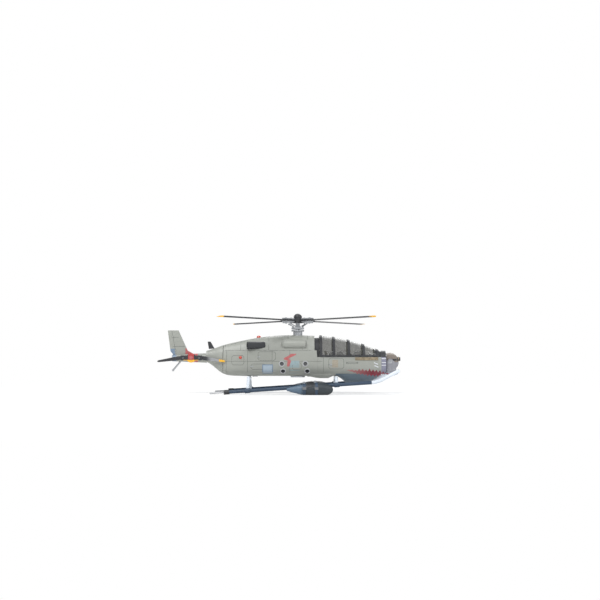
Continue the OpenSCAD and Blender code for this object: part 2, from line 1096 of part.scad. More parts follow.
module turret_ball() {
    half = cheek_in - 0.15;
    color(warm_grey)
        difference() {
            union() {
                intersection() {
                    translate([turret_x, 0, turret_z])
                        sphere(ball_r, $fn = 64);
                    translate([turret_x - ball_r, -half, turret_z - ball_r])
                        cube([2 * ball_r, 2 * half, 2 * ball_r]);
                }
                translate([turret_x, cheek_out, turret_z])
                    rotate([90, 0, 0])
                        cylinder(h = 2 * cheek_out, r = trunnion_r);
            }
            translate([turret_x + 1, 0, turret_z + 0.3 * ball_r])
                rotate([0, 90, 0])
                    cylinder(h = ball_r, r = 0.9);
        }
}

module gun_barrel() {
    color(near_black)
        translate([turret_x + 1, 0, turret_z + 0.3 * ball_r])
            rotate([0, 90, 0])
                difference() {
                    cylinder(h = muzzle - 1, r = 0.9);
                    translate([0, 0, muzzle - 2.2])
                        cylinder(h = 2, r = 0.5);
                }
}

// ---- Skids and pods ----

// Height of a skid tube's centre at x
function skid_z(x) = heel_r + (x - heel_x) * tan(skid_rise);

// Moves to a skid's heel and tips up with the tube, so that +X runs along it
module on_skid(s) {
    translate([heel_x, s * skid_track / 2, heel_r])
        rotate([0, -skid_rise, 0])
            children();
}

module along_x(x, length, r) {
    translate([x, 0, 0])
        rotate([0, 90, 0])
            cylinder(h = length, r = r);
}

module skid(s) {
    color(navy)
        on_skid(s)
            along_x(heel_wall, skid_straight - heel_wall, skid_r);
}

module skid_left() {
    skid(1);
}

module skid_right() {
    skid(-1);
}

// A ring of the toe around point c, where the tube has turned up by q
function toe_ring(c, q, r) = [
    for (i = [0 : 17])
        c + r * cos(i * 20) * [0, 1, 0] + r * sin(i * 20) * [-sin(q), 0, cos(q)]
];

// The toe's bend, then its straight part with a round tip
module skid_toe(s) {
    bend_end = [skid_straight + toe_bend_r * sin(toe_turn), 0, toe_bend_r * (1 - cos(toe_turn))];
    way = [cos(toe_turn), 0, sin(toe_turn)];
    color(tip_grey)
        on_skid(s)
            loft(concat(
                [for (q = steps(0, toe_turn, 6))
                    toe_ring([skid_straight + toe_bend_r * sin(q), 0, toe_bend_r * (1 - cos(q))], q, skid_r)],
                [for (b = steps(0, 84, 5))
                    toe_ring(bend_end + way * (toe_len + skid_r * sin(b)), toe_turn, skid_r * cos(b))]
            ));
}

module skid_toe_left() {
    skid_toe(1);
}

module skid_toe_right() {
    skid_toe(-1);
}

// A collar over the tube's end, with a slim pin behind it
module skid_heel(s) {
    color(tip_grey)
        on_skid(s)
            difference() {
                union() {
                    along_x(0, heel_len, heel_r);
                    along_x(-pin_len, pin_len + heel_wall / 2, pin_r);
                    translate([-pin_len, 0, 0])
                        sphere(pin_r);
                }
                along_x(heel_wall, heel_len, skid_r);
            }
}

module skid_heel_left() {
    skid_heel(1);
}

module skid_heel_right() {
    skid_heel(-1);
}

module skid_clamps(s) {
    color(navy)
        for (x = [front_tube_x, rear_tube_x])
            translate([x, s * skid_track / 2, skid_z(x)])
                rotate([0, -skid_rise, 0])
                    difference() {
                        along_x(-clamp_len / 2, clamp_len, clamp_r);
                        along_x(-clamp_len, 2 * clamp_len, skid_r);
                    }
}

module skid_clamps_left() {
    skid_clamps(1);
}

module skid_clamps_right() {
    skid_clamps(-1);
}

// A tube under the belly that splays out to both skids
module cross_tube(x) {
    top = belly_z - cross_r - 0.1;
    knee = 0.3 * body_w;
    foot = skid_track / 2;
    color(tip_grey)
        difference() {
            union() {
                bar([x, -knee, top], [x, knee, top], cross_r);
                for (s = [-1, 1]) {
                    ball([x, s * knee, top], cross_r + 0.1);
                    bar([x, s * knee, top], [x, s * foot, skid_z(x)], cross_r);
                }
            }
            for (s = [-1, 1])
                translate([x, s * foot, skid_z(x)])
                    rotate([0, -skid_rise, 0])
                        along_x(-clamp_len, 2 * clamp_len, clamp_r);
        }
}

module cross_tube_front() {
    cross_tube(front_tube_x);
}

module cross_tube_rear() {
    cross_tube(rear_tube_x);
}

// A pod's size along its length, blunt in front and drawn out behind
function pod_size(u) =
    u < 0.3 ? sqrt(1 - pow(1 - u / 0.3, 2)) * 0.94 + 0.06 : 1 - 0.82 * pow((u - 0.3) / 0.7, 1.9);

// A pod's section, flat where it would pass below the ground
function pod_ring(u, grow) = [
    for (i = [0 : 23])
        let (a = i * 15, size = pod_size(u))
        [(pod_w * size + grow) * cos(a), max(pod_z + (pod_h * size + grow) * sin(a), 0)]
];

module float_pod(s) {
    color(navy)
        loft([
            for (u = steps(0, 1, 18))
                let (q = u * u * (1.6 - 0.6 * u))
                [for (p = pod_ring(q, 0)) [pod_nose_x - pod_len * q, s * pod_y - p[0], p[1]]]
        ]);
}

module float_pod_left() {
    float_pod(1);
}

module float_pod_right() {
    float_pod(-1);
}

module strap_outline(u, grow) {
    x = pod_nose_x - pod_len * u;
    hull() {
        polygon(pod_ring(u, grow));
        translate([-pod_y + skid_track / 2, skid_z(x)])
            circle(skid_r + grow);
    }
}

module pod_strap(u) {
    translate([pod_nose_x - pod_len * u - strap_w / 2, pod_y, 0])
        rotate([90, 0, 90])
            linear_extrude(strap_w)
                difference() {
                    strap_outline(u, strap_th);
                    strap_outline(u - 0.03, 0.02);
                    strap_outline(u + 0.03, 0.02);
                    translate([-20, -10])
                        square([40, 10]);
                }
}

module pod_straps_left() {
    color(navy)
        for (u = pod_straps)
            pod_strap(u);
}

module pod_straps_right() {
    mirror([0, 1, 0])
        pod_straps_left();
}

fuselage_left();
fuselage_right();
belly_tub();
engine_cowling();
nose_collar();
windscreen_surround();
turret_bracket();
canopy_glass();
canopy_frame();
sill_strips();
cockpit_floor();
crew_seats();
instrument_panels();
control_sticks();
firewall();
main_frame();
assembly_screws();
stand_socket();
air_intake_left();
air_intake_right();
exhaust_left();
exhaust_right();
port_rims();
port_glasses();
mast_bearing();
swashplate_fixed();
tail_boom();
tail_fin();
tailplane();
tail_gearbox();
tail_skid();
skid_left();
skid_right();
skid_toe_left();
skid_toe_right();
skid_heel_left();
skid_heel_right();
cross_tube_front();
cross_tube_rear();
skid_clamps_left();
skid_clamps_right();
float_pod_left();
float_pod_right();
pod_straps_left();
pod_straps_right();
antenna();
nav_lights();
rotor_shaft();
swashplate_turning();
rotor_hub();
blade_grips();
rotor_blades();
pitch_links();
rotor_cap();
tail_shaft();
tail_hub();
tail_blades();
turret_yoke();
turret_ball();
gun_barrel();
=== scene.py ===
"""Looks of the small die-cast helicopter model, built around its CAD frame. Sizes are in metres."""

import json
import math

import bmesh
import bpy
from mathutils import Matrix, Vector
from mathutils.bvhtree import BVHTree


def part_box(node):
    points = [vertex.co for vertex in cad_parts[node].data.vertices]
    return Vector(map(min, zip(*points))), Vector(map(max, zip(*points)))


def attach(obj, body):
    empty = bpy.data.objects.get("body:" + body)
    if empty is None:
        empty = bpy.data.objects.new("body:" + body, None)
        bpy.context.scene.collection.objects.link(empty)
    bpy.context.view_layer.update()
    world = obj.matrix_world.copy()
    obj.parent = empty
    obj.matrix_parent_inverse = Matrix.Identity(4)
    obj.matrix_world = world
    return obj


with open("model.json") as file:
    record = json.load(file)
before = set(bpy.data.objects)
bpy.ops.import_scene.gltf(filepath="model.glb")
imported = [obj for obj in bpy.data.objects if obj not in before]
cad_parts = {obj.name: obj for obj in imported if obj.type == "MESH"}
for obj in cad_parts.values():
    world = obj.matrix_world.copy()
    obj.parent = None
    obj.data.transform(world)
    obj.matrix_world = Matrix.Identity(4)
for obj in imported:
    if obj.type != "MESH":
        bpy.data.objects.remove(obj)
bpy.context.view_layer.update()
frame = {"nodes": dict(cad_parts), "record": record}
NODES = frame["nodes"]
SLOT_OF = {s["node"]: s["material_slot"] for s in frame["record"]["subparts"]}
MM = 0.001
SIDES = {"right": -1, "left": 1}
# Bends above this many degrees stay sharp, on most pieces and on the smooth shells
SHARP_ANGLE, SHELL_ANGLE = 32, 50
LINE_WIDTH = 0.13 * MM
# Rays start this far out beside the model, above it, and clear of one node's face
OUTSIDE, ABOVE, CLEAR = 50 * MM, 60 * MM, 10 * MM
DOWN = Vector((0, 0, -1))

# Heights on the hull, as shares of its height over the belly
TURRET_SHARE = 0.344
TAIL_SHARE = 0.44
SILL_SHARE = 0.46
COWL_SHARE = 0.62


# ---- Places taken from the frame ----

def joint_place(name):
    joint = next(j for j in frame["record"]["behaviour"]["joints"] if j["name"] == name)
    return Vector(joint["pos_m"])


MAST = joint_place("main_rotor_spin")
TAIL = joint_place("tail_rotor_spin")
TURRET = joint_place("turret_yaw")
SHELL_LOW, SHELL_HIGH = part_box("fuselage_right")
BODY_LEN = SHELL_HIGH.x - SHELL_LOW.x
BODY_H = (TAIL.z - TURRET.z) / (TAIL_SHARE - TURRET_SHARE)
BELLY = TURRET.z - TURRET_SHARE * BODY_H
SILL = BELLY + SILL_SHARE * BODY_H
COWL_EDGE = BELLY + COWL_SHARE * BODY_H
ROTOR_R = (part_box("rotor_blades")[1].x - MAST.x) * math.sqrt(2)
TAIL_R = TAIL.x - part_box("tail_blades")[0].x
BALL_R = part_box("turret_ball")[1].z - TURRET.z


def hull_x(t):
    """The place along the fuselage at t, from 0 at the collar to 1 at the boom."""
    return SHELL_HIGH.x - t * BODY_LEN


# ---- Colours ----

def rgb(r, g, b):
    """A linear colour from its 0 to 255 display values."""
    def one(v):
        v = v / 255
        return v / 12.92 if v <= 0.04045 else ((v + 0.055) / 1.055) ** 2.4
    return (one(r), one(g), one(b), 1)


GREEN_GREY = rgb(147, 149, 142)
SLATE = rgb(80, 94, 104)
NAVY = rgb(46, 64, 84)
POD_DARK = rgb(46, 53, 58)
POD_PALE = rgb(84, 104, 122)
PALE = rgb(178, 179, 181)
TOE_WHITE = rgb(212, 219, 228)
WHITE = rgb(210, 212, 216)
LAVENDER = rgb(126, 126, 143)
TURRET_GREY = rgb(122, 113, 105)
# Painted highlight colour for the sensor ball's lower half, as if lit from below
TURRET_UNDERLIGHT_PALE = rgb(134, 133, 140)
YOKE_GREY = rgb(132, 132, 138)
BRONZE = rgb(162, 148, 124)
SMOKED = rgb(92, 92, 86)
BLACK = rgb(44, 45, 48)
STEEL = rgb(176, 178, 181)
ZINC = rgb(188, 189, 190)
SEAT = rgb(78, 66, 55)
CRIMSON = rgb(122, 34, 50)
FADED_RED = rgb(168, 120, 117)
RED = rgb(172, 60, 58)
DUSTY_RED = rgb(172, 92, 92)
PALE_BLUE = rgb(158, 172, 184)
BLUE_GREY = rgb(112, 130, 150)
GREEN_BLUE = rgb(138, 156, 160)
TAN = rgb(152, 144, 129)
YELLOW = rgb(226, 172, 46)
LAMP = rgb(190, 66, 48)
LINE = rgb(84, 86, 84)
LENS = rgb(22, 24, 30)


# ---- Materials ----

class Shader:
    """A small builder for one procedural material."""

    def __init__(self, name):
        self.mat = bpy.data.materials.new(name)
        self.mat.use_nodes = True
        self.tree = self.mat.node_tree
        self.bsdf = self.tree.nodes["Principled BSDF"]
        self.coords = self.node("ShaderNodeTexCoord").outputs["Object"]
        self.split = None

    def node(self, kind, **values):
        n = self.tree.nodes.new(kind)
        for key, value in values.items():
            setattr(n, key, value)
        return n

    def link(self, a, b):
        self.tree.links.new(a, b)

    def axis(self, name):
        if self.split is None:
            self.split = self.node("ShaderNodeSeparateXYZ")
            self.link(self.coords, self.split.inputs[0])
        return self.split.outputs[name]

    def noise(self, size, detail=3.0, stretch=None):
        """Noise whose features are about size metres across."""
        n = self.node("ShaderNodeTexNoise")
        n.inputs["Scale"].default_value = 1 / size
        n.inputs["Detail"].default_value = detail
        source = self.coords
        if stretch:
            mapping = self.node("ShaderNodeMapping")
            mapping.inputs["Scale"].default_value = stretch
            self.link(self.coords, mapping.inputs["Vector"])
            source = mapping.outputs[0]
        self.link(source, n.inputs["Vector"])
        return n.outputs["Fac"]

    def math(self, operation, a, b=0.0):
        n = self.node("ShaderNodeMath", operation=operation)
        for socket, value in ((n.inputs[0], a), (n.inputs[1], b)):
            if isinstance(value, (int, float)):
                socket.default_value = value
            else:
                self.link(value, socket)
        return n.outputs[0]

    def ramp(self, value, low, high, out_low=0.0, out_high=1.0):
        n = self.node("ShaderNodeMapRange", clamp=True)
        self.link(value, n.inputs[0])
        for socket, number in zip(n.inputs[1:5], (low, high, out_low, out_high)):
            socket.default_value = number
        return n.outputs[0]

    def mix(self, factor, a, b):
        n = self.node("ShaderNodeMix", data_type="RGBA")
        for socket, value in ((n.inputs["Factor"], factor), (n.inputs[6], a), (n.inputs[7], b)):
            if isinstance(value, (int, float, tuple)):
                socket.default_value = value
            else:
                self.link(value, socket)
        return n.outputs[2]

    def between(self, value, low, high):
        """1 where value lies between low and high, with a soft edge."""
        soft = 0.06 * MM
        up = self.ramp(value, low - soft, low + soft)
        down = self.ramp(value, high - soft, high + soft, 1.0, 0.0)
        return self.math("MULTIPLY", up, down)

    def within(self, low, high, z_low, z_high):
        """1 inside a rectangle in X and Z."""
        along = self.between(self.axis("X"), low, high)
        return self.math("MULTIPLY", along, self.between(self.axis("Z"), z_low, z_high))

    def colour(self, socket):
        self.link(socket, self.bsdf.inputs["Base Color"])

    def rough(self, base, spread, size):
        self.link(self.ramp(self.noise(size, 4.0), 0.3, 0.7, base - spread, base + spread),
                  self.bsdf.inputs["Roughness"])

    def bump(self, height, distance, strength=0.5):
        n = self.node("ShaderNodeBump")
        n.inputs["Strength"].default_value = strength
        n.inputs["Distance"].default_value = distance
        self.link(height, n.inputs["Height"])
        self.link(n.outputs[0], self.bsdf.inputs["Normal"])


def shade(value, factor):
    return tuple(min(c * factor, 1.0) for c in value[:3]) + (1,)


def tinted(s, value, spread=0.07, size=0.6 * MM, fade=None):
    """The colour with fine mottling, and a slow fade towards another colour."""
    mottle = s.ramp(s.noise(size, 5.0), 0.3, 0.7)
    made = s.mix(mottle, shade(value, 1 - spread), shade(value, 1 + spread))
    cloud = s.ramp(s.noise(9 * MM, 2.0), 0.35, 0.75, 0.0, 0.35)
    return s.mix(cloud, made, fade or shade(value, 1 - 1.6 * spread))


def worn(s, made):
    """Paint rubbed through to the bare zinc along sharp convex edges."""
    edge = s.ramp(s.node("ShaderNodeNewGeometry").outputs["Pointiness"], 0.56, 0.66)
    patchy = s.ramp(s.noise(0.8 * MM, 4.0), 0.45, 0.62, 0.0, 0.3)
    return s.mix(s.math("MULTIPLY", edge, patchy), made, ZINC)


def cast_paint(name, value, marks=()):
    """Satin paint over a zinc casting. marks are (colour, mask maker) pairs."""
    s = Shader(name)
    made = tinted(s, value, 0.045, 0.5 * MM, shade(value, 0.9))
    for colour, mask in marks:
        made = s.mix(mask(s), made, tinted(s, colour, 0.06))
    s.colour(worn(s, made))
    s.rough(0.42, 0.07, 1.4 * MM)
    s.bsdf.inputs["Coat Weight"].default_value = 0.12
    s.bsdf.inputs["Coat Roughness"].default_value = 0.3
    s.bump(s.noise(0.22 * MM, 4.0), 0.012 * MM, 0.5)
    return s.mat


def moulded(name, value, roughness=0.5, marks=(), spread=0.06):
    """Moulded plastic with a fine grain and faint scuffs."""
    s = Shader(name)
    made = tinted(s, value, spread, 0.45 * MM)
    for colour, mask in marks:
        made = s.mix(mask(s), made, tinted(s, colour, 0.07))
    scuff = s.ramp(s.noise(0.5 * MM, 6.0, (0.25, 1.0, 1.0)), 0.62, 0.74, 0.0, 0.3)
    s.colour(s.mix(scuff, made, shade(value, 1.45)))
    s.rough(roughness, 0.08, 0.9 * MM)
    s.bump(s.noise(0.16 * MM, 3.0), 0.014 * MM, 0.5)
    return s.mat


def turned_steel(name, value=STEEL, roughness=0.32):
    """Plated steel with fine turning marks and a little tarnish."""
    s = Shader(name)
    tarnish = s.ramp(s.noise(4 * MM, 3.0), 0.45, 0.75, 0.0, 0.3)
    s.colour(s.mix(tarnish, value, shade(value, 0.62)))
    s.bsdf.inputs["Metallic"].default_value = 0.9
    s.rough(roughness, 0.09, 0.5 * MM)
    s.bump(s.noise(0.1 * MM, 2.0, (1.0, 1.0, 6.0)), 0.006 * MM, 0.5)
    return s.mat


def smoked_plastic(name, value, alpha, paint=None, paint_mask=None):
    """Clear plastic with a smoky tint, hairline scratches and a polished face."""
    s = Shader(name)
    made = tinted(s, value, 0.04, 2 * MM)
    hairline = s.ramp(s.noise(0.5 * MM, 5.0, (0.12, 1.0, 2.0)), 0.7, 0.78)
    s.link(s.ramp(hairline, 0.0, 1.0, 0.1, 0.22), s.bsdf.inputs["Roughness"])
    if paint_mask:
        mask = paint_mask(s)
        made = s.mix(mask, made, paint)
        s.link(s.ramp(mask, 0.0, 1.0, alpha, 1.0), s.bsdf.inputs["Alpha"])
    else:
        s.bsdf.inputs["Alpha"].default_value = alpha
    s.colour(made)
    s.bsdf.inputs["Coat Weight"].default_value = 0.6
    s.bsdf.inputs["Coat Roughness"].default_value = 0.04
    s.bump(s.noise(6 * MM, 1.0), 0.03 * MM, 0.12)
    return s.mat


def lamp_glass(name, value):
    """Glossy tinted plastic, for lamps and lenses."""
    s = Shader(name)
    s.colour(tinted(s, value, 0.08, 0.4 * MM))
    s.rough(0.12, 0.05, 0.6 * MM)
    s.bsdf.inputs["Coat Weight"].default_value = 0.8
    return s.mat


def bronze_paint(name):
    """Metallic paint with fine flakes and brown grime."""
    s = Shader(name)
    flake = s.ramp(s.noise(0.08 * MM, 2.0), 0.35, 0.65)
    made = s.mix(flake, shade(BRONZE, 0.8), shade(BRONZE, 1.16))
    grime = s.ramp(s.noise(1.1 * MM, 4.0), 0.42, 0.66, 0.0, 0.6)
    s.colour(s.mix(grime, made, shade(BRONZE, 0.4)))
    s.bsdf.inputs["Metallic"].default_value = 0.55
    s.rough(0.36, 0.08, 0.8 * MM)
    s.bump(s.noise(0.15 * MM, 3.0), 0.01 * MM, 0.5)
    return s.mat


def boom_marks():
    """A red ring and a blue-grey ring painted round the boom."""
    def red(s):
        return s.between(s.axis("X"), TAIL.x - 2.2 * MM, TAIL.x + 2.4 * MM)

    def blue(s):
        return s.between(s.axis("X"), TAIL.x - 9.2 * MM, TAIL.x - 7.4 * MM)
    return [(DUSTY_RED, red), (BLUE_GREY, blue)]


def main_tip(s):
    """The yellow ends of the main blades, by distance from the mast."""
    dx = s.math("SUBTRACT", s.axis("X"), MAST.x)
    across = s.math("ADD", s.math("MULTIPLY", dx, dx), s.math("MULTIPLY", s.axis("Y"), s.axis("Y")))
    radius = s.math("SQRT", across)
    return s.ramp(radius, ROTOR_R - 3.6 * MM, ROTOR_R - 3.5 * MM)


def tail_tip(s):
    """The yellow end of the tail blade that points forwards at rest."""
    return s.ramp(s.axis("X"), TAIL.x + TAIL_R - 2.7 * MM, TAIL.x + TAIL_R - 2.6 * MM)


def tail_pale(s):
    """The worn grey part of the same blade."""
    return s.ramp(s.axis("X"), TAIL.x + 0.45 * TAIL_R, TAIL.x + 0.6 * TAIL_R, 0.0, 0.6)


def hub_red(s):
    """The red middle of the tail hub."""
    return s.between(s.axis("X"), TAIL.x - 1.3 * MM, TAIL.x + 1.3 * MM)


def hub_yellow(s):
    """A yellow strip along the underside of the tail hub."""
    low = s.ramp(s.axis("Z"), TAIL.z - 0.9 * MM, TAIL.z - 0.84 * MM, 1.0, 0.0)
    return s.math("MULTIPLY", low, s.between(s.axis("X"), TAIL.x - 3.4 * MM, TAIL.x + 3.4 * MM))


def tub_rear(s):
    """The belly behind the chin, painted like the hull."""
    return s.ramp(s.axis("X"), hull_x(0.262), hull_x(0.258), 1.0, 0.0)


def heel_collar(s):
    """The black collar in front of a heel's slim pin."""
    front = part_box("skid_heel_right")[1].x
    return s.ramp(s.axis("X"), front - 2.5 * MM, front - 2.44 * MM)


def ball_painted_underlight(s):
    """Painted highlight: the sensor ball's lower half made paler, as if lit from below."""
    wander = s.ramp(s.noise(1.5 * MM), 0.3, 0.7, -0.12 * MM, 0.12 * MM)
    height = s.math("ADD", s.axis("Z"), wander)
    return s.ramp(height, TURRET.z - 0.25 * MM, TURRET.z - 0.05 * MM, 1.0, 0.0)


def glare_shield(s):
    """The black front end of the canopy."""
    return s.ramp(s.axis("X"), hull_x(0.038), hull_x(0.037))


def band_fade(s):
    """The band's faded rear end."""
    return s.ramp(s.axis("X"), hull_x(0.19), hull_x(0.06), 1.0, 0.0)


def fin_red(s):
    """A red patch on the front of the fin's root."""
    return s.within(TAIL.x - 3.4 * MM, TAIL.x + 2 * MM, TAIL.z, TAIL.z + 4.4 * MM)


def fin_blue(s):
    """A blue-grey patch low on the fin's trailing edge."""
    return s.within(TAIL.x - 12 * MM, TAIL.x - 8.1 * MM, TAIL.z + 1 * MM, TAIL.z + 4.2 * MM)


def pod_tail(s):
    """The paler tail cone of each pod."""
    low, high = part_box("float_pod_right")
    length = high.x - low.x
    return s.ramp(s.axis("X"), low.x + 0.3 * length, low.x + 0.42 * length, 1.0, 0.0)


MATERIALS = {
    "body_paint": cast_paint("body_paint", GREEN_GREY),
    "boom_paint": cast_paint("boom_paint", GREEN_GREY, boom_marks()),
    "slate_paint": cast_paint("slate_paint", SLATE, [(GREEN_GREY, tub_rear)]),
    "navy_plastic": moulded("navy_plastic", NAVY, 0.46),
    "pod_plastic": moulded("pod_plastic", POD_DARK, 0.5, [(POD_PALE, pod_tail)]),
    "pale_trim": moulded("pale_trim", PALE, 0.44),
    "white_trim": moulded("white_trim", WHITE, 0.42, spread=0.03),
    "lavender_plastic": moulded("lavender_plastic", LAVENDER, 0.46),
    # The ball's lower half gets a painted highlight, as if lit from below
    "turret_plastic": moulded("turret_plastic", TURRET_GREY, 0.45, [(TURRET_UNDERLIGHT_PALE, ball_painted_underlight)], 0.1),
    "bronze_trim": bronze_paint("bronze_trim"),
    "smoked_plastic": smoked_plastic("smoked_plastic", SMOKED, 0.4, BLACK, glare_shield),
    "port_plastic": smoked_plastic("port_plastic", BLACK, 1.0),
    "black_plastic": moulded("black_plastic", BLACK, 0.48),
    "blade_plastic": moulded("blade_plastic", BLACK, 0.5, [(YELLOW, main_tip)]),
    "tail_plastic": moulded("tail_plastic", BLACK, 0.5, [(PALE, tail_pale), (YELLOW, tail_tip)]),
    "hub_plastic": moulded("hub_plastic", BLACK, 0.46, [(RED, hub_red), (YELLOW, hub_yellow)]),
    "fin_paint": cast_paint("fin_paint", GREEN_GREY, [(BLUE_GREY, fin_blue), (DUSTY_RED, fin_red)]),
    "bracket_paint": cast_paint("bracket_paint", PALE_BLUE),
    "yoke_plastic": moulded("yoke_plastic", YOKE_GREY, 0.45),
    "toe_plastic": moulded("toe_plastic", TOE_WHITE, 0.4, spread=0.03),
    "heel_plastic": moulded("heel_plastic", PALE, 0.44, [(BLACK, heel_collar)]),
    "seat_plastic": moulded("seat_plastic", SEAT, 0.65),
    "steel": turned_steel("steel"),
    "dull_steel": turned_steel("dull_steel", shade(STEEL, 0.5), 0.45),
    "lamp_plastic": lamp_glass("lamp_plastic", LAMP),
    "panel_line": moulded("panel_line", LINE, 0.6),
    "crimson_paint": moulded("crimson_paint", CRIMSON, 0.42, [(FADED_RED, band_fade)], 0.12),
    "red_paint": moulded("red_paint", DUSTY_RED, 0.45, spread=0.12),
    "blue_grey_paint": moulded("blue_grey_paint", BLUE_GREY, 0.45),
    "green_blue_paint": moulded("green_blue_paint", GREEN_BLUE, 0.45, spread=0.1),
    "pale_blue_paint": moulded("pale_blue_paint", PALE_BLUE, 0.45),
    "tan_paint": moulded("tan_paint", TAN, 0.45, spread=0.1),
    "lens_glass": lamp_glass("lens_glass", LENS),
}


# ---- Pieces ----

def piece(name, mesh, body, material, slot):
    """An object that rides on a body, with its material. The slot argument is not used."""
    made = bpy.data.objects.new(name, mesh)
    bpy.context.scene.collection.objects.link(made)
    mesh.materials.clear()
    mesh.materials.append(MATERIALS[material])
    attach(made, body)


def welded_skin(angle):
    """A modifier's nodes that weld a CAD node's faces and shade it smooth below an angle."""
    tree = bpy.data.node_groups.new("welded_skin", "GeometryNodeTree")
    for way in ("INPUT", "OUTPUT"):
        tree.interface.new_socket("Geometry", in_out=way, socket_type="NodeSocketGeometry")
    start, end = tree.nodes.new("NodeGroupInput"), tree.nodes.new("NodeGroupOutput")
    weld = tree.nodes.new("GeometryNodeMergeByDistance")
    weld.inputs["Distance"].default_value = 0.002 * MM
    plain = tree.nodes.new("GeometryNodeRemoveAttribute")
    plain.inputs["Name"].default_value = "custom_normal"
    faces = tree.nodes.new("GeometryNodeSetShadeSmooth")
    edges = tree.nodes.new("GeometryNodeSetShadeSmooth")
    edges.domain = "EDGE"
    edges.inputs["Shade Smooth"].default_value = False
    bend = tree.nodes.new("GeometryNodeInputMeshEdgeAngle")
    sharp = tree.nodes.new("FunctionNodeCompare")
    sharp.operation = "GREATER_THAN"
    sharp.inputs[1].default_value = math.radians(angle)
    tree.links.new(bend.outputs["Unsigned Angle"], sharp.inputs[0])
    tree.links.new(sharp.outputs["Result"], edges.inputs["Selection"])
    chain = [start, weld, plain, faces, edges, end]
    for before, after in zip(chain, chain[1:]):
        tree.links.new(before.outputs[0], after.inputs[0])
    return tree


def dressed(node, skin, bevel):
    """Gives a CAD node its material, one welded skin and soft edges. The node itself stays."""
    kept = NODES[node]
    for slot in kept.material_slots:
        slot.material = MATERIALS[MATERIAL_OF.get(node, SLOT_OF[node])]
    kept.modifiers.new("skin", "NODES").node_group = skin
    if bevel:
        edges = kept.modifiers.new("edges", "BEVEL")
        edges.width = bevel
        edges.segments = 2
        edges.limit_method = "ANGLE"
        edges.angle_limit = math.radians(38)
        edges.use_clamp_overlap = True
        edges.harden_normals = True


def closed_piece(name, verts, faces, body, material, slot):
    """A closed piece, smooth up to the sharp angle, with its normals outwards."""
    mesh = bpy.data.meshes.new(name)
    mesh.from_pydata([tuple(v) for v in verts], [], faces)
    mesh.validate()
    for p in mesh.polygons:
        p.use_smooth = True
    mesh.set_sharp_from_angle(angle=math.radians(SHARP_ANGLE))
    piece(name, mesh, body, material, slot)
    work = bmesh.new()
    work.from_mesh(mesh)
    bmesh.ops.recalc_face_normals(work, faces=work.faces)
    work.to_mesh(mesh)
    work.free()


def surface_of(*names):
    """A ray-casting tree over some CAD nodes."""
    verts, faces = [], []
    for name in names:
        mesh = NODES[name].data
        base = len(verts)
        verts += [v.co.copy() for v in mesh.vertices]
        faces += [[base + i for i in p.vertices] for p in mesh.polygons]
    return BVHTree.FromPolygons(verts, faces)


SIDE_SKIN = {
    side: surface_of("fuselage_" + side, "belly_tub", "engine_cowling", "nose_collar", "turret_bracket")
    for side in SIDES
}
TOP_SKIN = surface_of("engine_cowling", "canopy_glass", "fuselage_left", "fuselage_right")


def on_side(side, x, z):
    """(point, normal) where a line from the side meets the hull at x, z, or close by at a seam."""
    s = SIDES[side]
    for lift in (0, 0.04, -0.04, 0.1, -0.1, 0.16, -0.16):
        start = Vector((x, s * OUTSIDE, z + lift * MM))
        point, normal = SIDE_SKIN[side].ray_cast(start, Vector((0, -s, 0)), OUTSIDE)[:2]
        if point is not None:
            return point, normal
    return None, None


def lowest_on_side(side, x, z):
    """The first height at or above z where the hull's side can be painted."""
    while on_side(side, x, z)[0] is None:
        z += 0.04 * MM
    return z


def spread(a, b, n):
    """n + 1 even steps from a to b."""
    return [a + (b - a) * i / n for i in range(n + 1)]


def circle(centre, u, v, r, n):
    """n points round a centre, in the plane of the unit vectors u and v."""
    return [centre + (u * math.cos(a) + v * math.sin(a)) * r for a in spread(0, 2 * math.pi, n)[:-1]]


def traced(surface, starts, direction):
    """The (point, normal) pairs where rays from the starts meet a surface."""
    hits = [surface.ray_cast(start, direction)[:2] for start in starts]
    return [hit for hit in hits if hit[0] is not None]


def closed_sheet(grid, thickness):
    """Vertices and faces of a thin closed sheet over rows of (point, normal)."""
    rows, cols = len(grid), len(grid[0])
    verts = [p + n * h for h in (0.004 * MM, thickness) for row in grid for p, n in row]
    top = rows * cols
    faces = []
    for i in range(rows - 1):
        for j in range(cols - 1):
            a, b = i * cols + j, i * cols + j + 1
            c, d = b + cols, a + cols
            faces += [(d, c, b, a), (top + a, top + b, top + c, top + d)]
    rim = [i * cols for i in range(rows)]
    rim += [(rows - 1) * cols + j for j in range(1, cols)]
    rim += [i * cols + cols - 1 for i in range(rows - 2, -1, -1)]
    rim += list(range(cols - 2, 0, -1))
    for a, b in zip(rim, rim[1:] + rim[:1]):
        faces.append((a, b, top + b, top + a))
    return verts, faces


def painted_patch(name, side, material, xs, low, high, rows=4, thickness=0.035 * MM):
    """Paint on the hull's side between two outlines, which are functions of x."""
    grid = [[on_side(side, x, low(x) + (high(x) - low(x)) * k / rows) for x in xs]
            for k in range(rows + 1)]
    if any(hit[0] is None for row in grid for hit in row):
        raise RuntimeError(name + " runs off the hull")
    closed_piece(name, *closed_sheet(grid, thickness), "airframe", material, "body_paint")


def ribbon(points, width, thickness=0.02 * MM):
    """Vertices and faces of a narrow closed strip along (point, normal) pairs."""
    grid = [[], []]
    for i, (p, n) in enumerate(points):
        before = points[max(i - 1, 0)][0]
        after = points[min(i + 1, len(points) - 1)][0]
        across = n.cross((after - before).normalized()).normalized() * width / 2
        grid[0].append((p - across, n))
        grid[1].append((p + across, n))
    return closed_sheet(grid, thickness)


def joined(name, parts, body, material, slot):
    """One piece from several (vertices, faces) pairs."""
    verts, faces = [], []
    for v, f in parts:
        base = len(verts)
        verts += v
        faces += [tuple(base + i for i in face) for face in f]
    closed_piece(name, verts, faces, body, material, slot)


